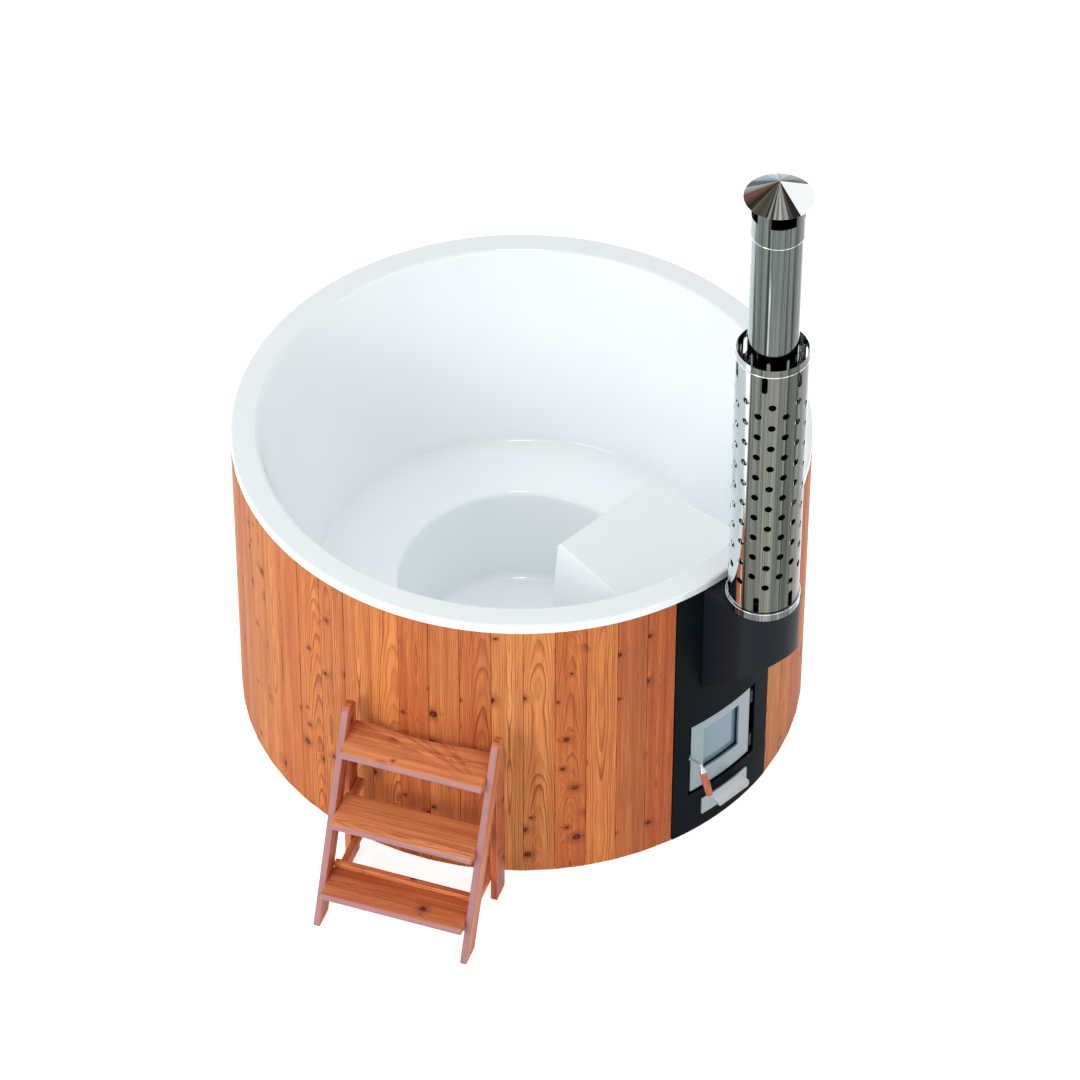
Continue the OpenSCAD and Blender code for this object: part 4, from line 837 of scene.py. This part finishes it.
# ---- the tub ----
def make_wall_boards():
    """Upright boards with rounded arrises: a flat-faced section, once for each board round the tub.

    With o the section's distance from the tub's axis, c its distance across the board and b the
    board's bearing, x = o sin b + c cos b and y = -o cos b + c sin b. The section shrinks towards
    the chamfers at both ends. The two boards beside the drain pipe are cut back there: at the
    height z they end the length sqrt(R^2 - (z - drain)^2) short of the joint. Each board's grain
    is measured across it, behind its face and up."""
    step = (2 * math.pi - PANEL_ANGLE) / BOARD_COUNT
    half_out = RIM_R * math.tan(step / 2) - BOARD_GAP
    half_in = (RIM_R - BOARD_T) * math.tan(step / 2) - BOARD_GAP
    section = fillet([(-half_out, 0.0), (half_out, 0.0), (half_in, -BOARD_T),
                      (-half_in, -BOARD_T)], [FACE_ARRIS, FACE_ARRIS, BACK_ARRIS, BACK_ARRIS], 4)
    turn = np.linspace(math.pi, 0, 13)
    heights = np.array([GROUND_GAP, GROUND_GAP + FOOT_CUT,
                        *(DRAIN_Z + DRAIN_HOLE_R * np.cos(turn)), BOARD_TOP - HEAD_CUT, BOARD_TOP])
    shrink = np.array([FOOT_CUT, *np.zeros(len(heights) - 2), HEAD_CUT])
    notch = np.array([0.0, 0.0, *(DRAIN_HOLE_R * np.sin(turn)), 0.0, 0.0])
    middle = np.array([0.0, -BOARD_T / 2])
    inward = (section - middle) / np.abs(section - middle).max(0)
    rings = section[:, None, :] - inward[:, None, :] * shrink[None, :, None]
    n, k = len(section), len(heights)
    across, depth = rings[..., 0], rings[..., 1]
    numbers = np.arange(BOARD_COUNT)
    bearing = -(PANEL_ANGLE / 2 + step / 2 + numbers * step)
    sine, cosine = np.sin(bearing)[:, None, None], np.cos(bearing)[:, None, None]
    out = np.broadcast_to(RIM_R + depth[None], (BOARD_COUNT, n, k))
    across = np.repeat(across[None], BOARD_COUNT, 0)
    edge = RIM_R * math.tan(step / 2) - notch
    left, right = BOARD_COUNT // 2 - 1, BOARD_COUNT // 2
    across[left] = np.maximum(across[left], -edge)
    across[right] = np.minimum(across[right], edge)
    x = out * sine + across * cosine
    y = -out * cosine + across * sine
    z = np.broadcast_to(heights, x.shape)
    points = np.stack([x, y, z], -1).reshape(-1, 3)
    grain = np.stack([across, out - RIM_R, z], -1).reshape(-1, 3)
    seed = np.repeat(numbers * SEED_STEP + FIRST_SEED, n * k)
    faces = [tuple(i * n * k + np.array(face)) for i in numbers for face in capped_faces(n, k)]
    piece("boards", points, faces, "tub", M["wall_timber"], sharp=28.0,
          nodes=["wall_boards"], grain=(grain, seed))


def ring_bead(name, radius, z, wire_r):
    """A rolled bead round the flue: a wire of radius w, bent to the radius R at the height z.

    At the turns a round the flue and b round the wire, with r = R + w cos b:
    x = cx + r sin a, y = cy - r cos a, and the height is z + w sin b."""
    around, about = 160, 14
    a = np.linspace(0, 2 * math.pi, around, endpoint=False)[:, None]
    b = np.linspace(0, 2 * math.pi, about, endpoint=False)[None, :]
    r, height = radius + wire_r * np.cos(b), z + wire_r * np.sin(b)
    points = np.stack([FLUE_AXIS[0] + r * np.sin(a), FLUE_AXIS[1] - r * np.cos(a),
                       height + 0 * a], -1)
    piece(name, points, grid_faces(around, about, True), "tub", M["bead_mirror"],
          sharp=80.0)


# ---- the steps ----
def steps_grain(along, seed):
    """Grain coordinates for a board of the steps, from points turned into the steps' own frame.

    u runs sideways, v away from the tub and z up. Along is the way the board's fibres run, in
    u, v and z."""
    along = np.asarray(along, float) / np.linalg.norm(along)

    def worked_out(place):
        local = np.stack([place[:, :2] @ STEPS_SIDE - STEPS_SHIFT,
                          place[:, :2] @ np.array(STEPS_AHEAD[:2]), place[:, 2]], 1)
        flat = local - local.mean(0)
        sideways = abs(along[0]) >= 0.5
        thin = np.array([0.0, 0.0, 1.0]) if sideways else np.array([1.0, 0.0, 0.0])
        across = np.cross(thin, along)
        depth = flat @ thin
        depth = -np.abs(depth - depth.max() * thin[2])
        return np.stack([flat @ across, depth, flat @ along], 1), np.full(len(place), seed)
    return worked_out


def stile(side):
    """A raked side board: a strip that leans, cut level at the floor and round at its head.

    The outline is in distance v from the tub's axis and height z; the head is a half circle that
    the two long edges meet tangentially. It is carried sideways from face to face."""
    slant = STILE_HALF_W / math.cos(STEPS_LEAN)
    head = np.array([STILE_TOE_V - math.tan(STEPS_LEAN) * STILE_HEAD_Z - slant, STILE_HEAD_Z])
    turn = STEPS_LEAN + np.linspace(0, math.pi, 25)
    rim = head + STILE_HALF_W * np.stack([np.cos(turn), np.sin(turn)], -1)
    outline = np.array([(STILE_TOE_V, 0.0), *rim, (STILE_TOE_V - 2 * slant, 0.0)])
    v, z = np.repeat(outline, 2, 0).T
    u = np.tile([side * face for face in STILE_FACES], len(outline)) + STEPS_SHIFT
    level = u[:, None] * STEPS_SIDE + v[:, None] * np.array(STEPS_AHEAD[:2])
    return np.concatenate([level, z[:, None]], 1), capped_faces(len(outline), 2)


def make_steps():
    """Every board of the steps, with softened edges and the grain along it."""
    level, upright, raked = (1, 0, 0), (0, 0, 1), (0, -math.tan(STEPS_LEAN), 1)
    for name, side, seed in (("steps_left_stile", -1.0, 11.2), ("steps_right_stile", 1.0, 12.9)):
        points, faces = stile(side)
        made = piece(name + "_board", points, faces, "steps", M["steps_wear_and_painted_sheen"],
                     sharp=30.0, nodes=[name],
                     grain=steps_grain(raked, seed)(points))
        bevelled(made, STEPS_EDGE_R)
    boards = (("steps_legs", upright, 14.5, "steps_timber"),
              ("steps_top_tread", level, 21.4, "steps_wear_and_painted_sheen"),
              ("steps_middle_tread", level, 24.6, "steps_wear_and_painted_sheen"),
              ("steps_bottom_tread", level, 27.1, "steps_wear_and_painted_sheen"),
              ("steps_cleats", (0, 1, 0), 31.3, "steps_timber"),
              ("steps_heel_strip", level, 35.9, "steps_timber"))
    for name, along, seed, key in boards:
        smooth_copy([name], name + "_board", "steps", M[key], sharp=28.0,
                    bevel=STEPS_EDGE_R, grain=steps_grain(along, seed))


# ---- the whole ----
SKINS = (("front_panel", "black"), ("housing_shell", "housing"), ("housing_lid", "housing"))
MIRRORS = (("heat_shield", "shield_mirror"), ("flue_lower_pipe", "pipe_mirror"),
           ("flue_upper_pipe", "pipe_mirror"), ("flue_cowl", "pipe_mirror"),
           ("shield_collar", "trim_mirror"))
LINER = (("liner_wall", ALIKE), ("liner_bench", ALIKE), ("liner_footwell", ALIKE),
         ("liner_bay", 0.60))
BEADS = (("cowl_bead", 0.0779, 2.4630, 0.0014),    # name, radius, height and the wire's radius
         ("collar_bead", 0.1120, 1.0600, 0.0012),
         ("shield_bead", SHIELD_R + 0.0006, 2.0050, 0.0017))
PLAIN = {
    "frame_timber": "fixing_rings base_plate base_bearers bench_frame",
    "batten_timber": "panel_battens",
    "foam": "floor_insulation",
    "stove": "stove_casing firebox baffle_plate stove_feet flue_spigot ash_tray flue_elbow",
    "collar_steel": "stove_front_plate door_throat ash_sleeve latch_keeper hinge_brackets "
                    "hinge_pins",
    "grate": "fire_grate",
    "door": "door_frame",
    "satin": "glass_retainer ash_drawer_front circulation_ports port_grilles",
    "bright": "latch_shaft handle_ferrule shield_spacers drain_valve_ball",
    "liner": "drain_fitting",
    "pull": "ash_drawer_pull",
    "seal": "glass_gasket door_rope_seal",
    "glass": "door_glass",
    "grip": "handle_grip",
    "pipe": "drain_pipe",
    "brass": "drain_valve_body",
    "lever": "drain_valve_lever",
}


def main():
    """Makes the stage, the pieces that are drawn again, and those that keep their shape."""
    make_camera()
    make_light()
    make_floor()
    for name, alike in LINER:
        smooth_copy([name], name + "_skin", "tub", M["liner"], alike=alike)
    make_wall_boards()
    make_steps()
    for name, key in SKINS:
        smooth_copy([name], name + "_skin", "tub", M[key])
    for name, key in MIRRORS:
        smooth_copy([name], name + "_skin", "tub", M[key], axis=FLUE_AXIS)
    smooth_copy(["rain_cap"], "rain_cap_skin", "tub", M["cap_mirror"])
    for name, radius, z, wire_r in BEADS:
        ring_bead(name, radius, z, wire_r)
    for key, names in PLAIN.items():
        for name in names.split():
            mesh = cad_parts[name].data
            mesh.materials.clear()
            mesh.materials.append(M[key])


main()
scene = bpy.context.scene
scene.view_settings.view_transform = "Standard"
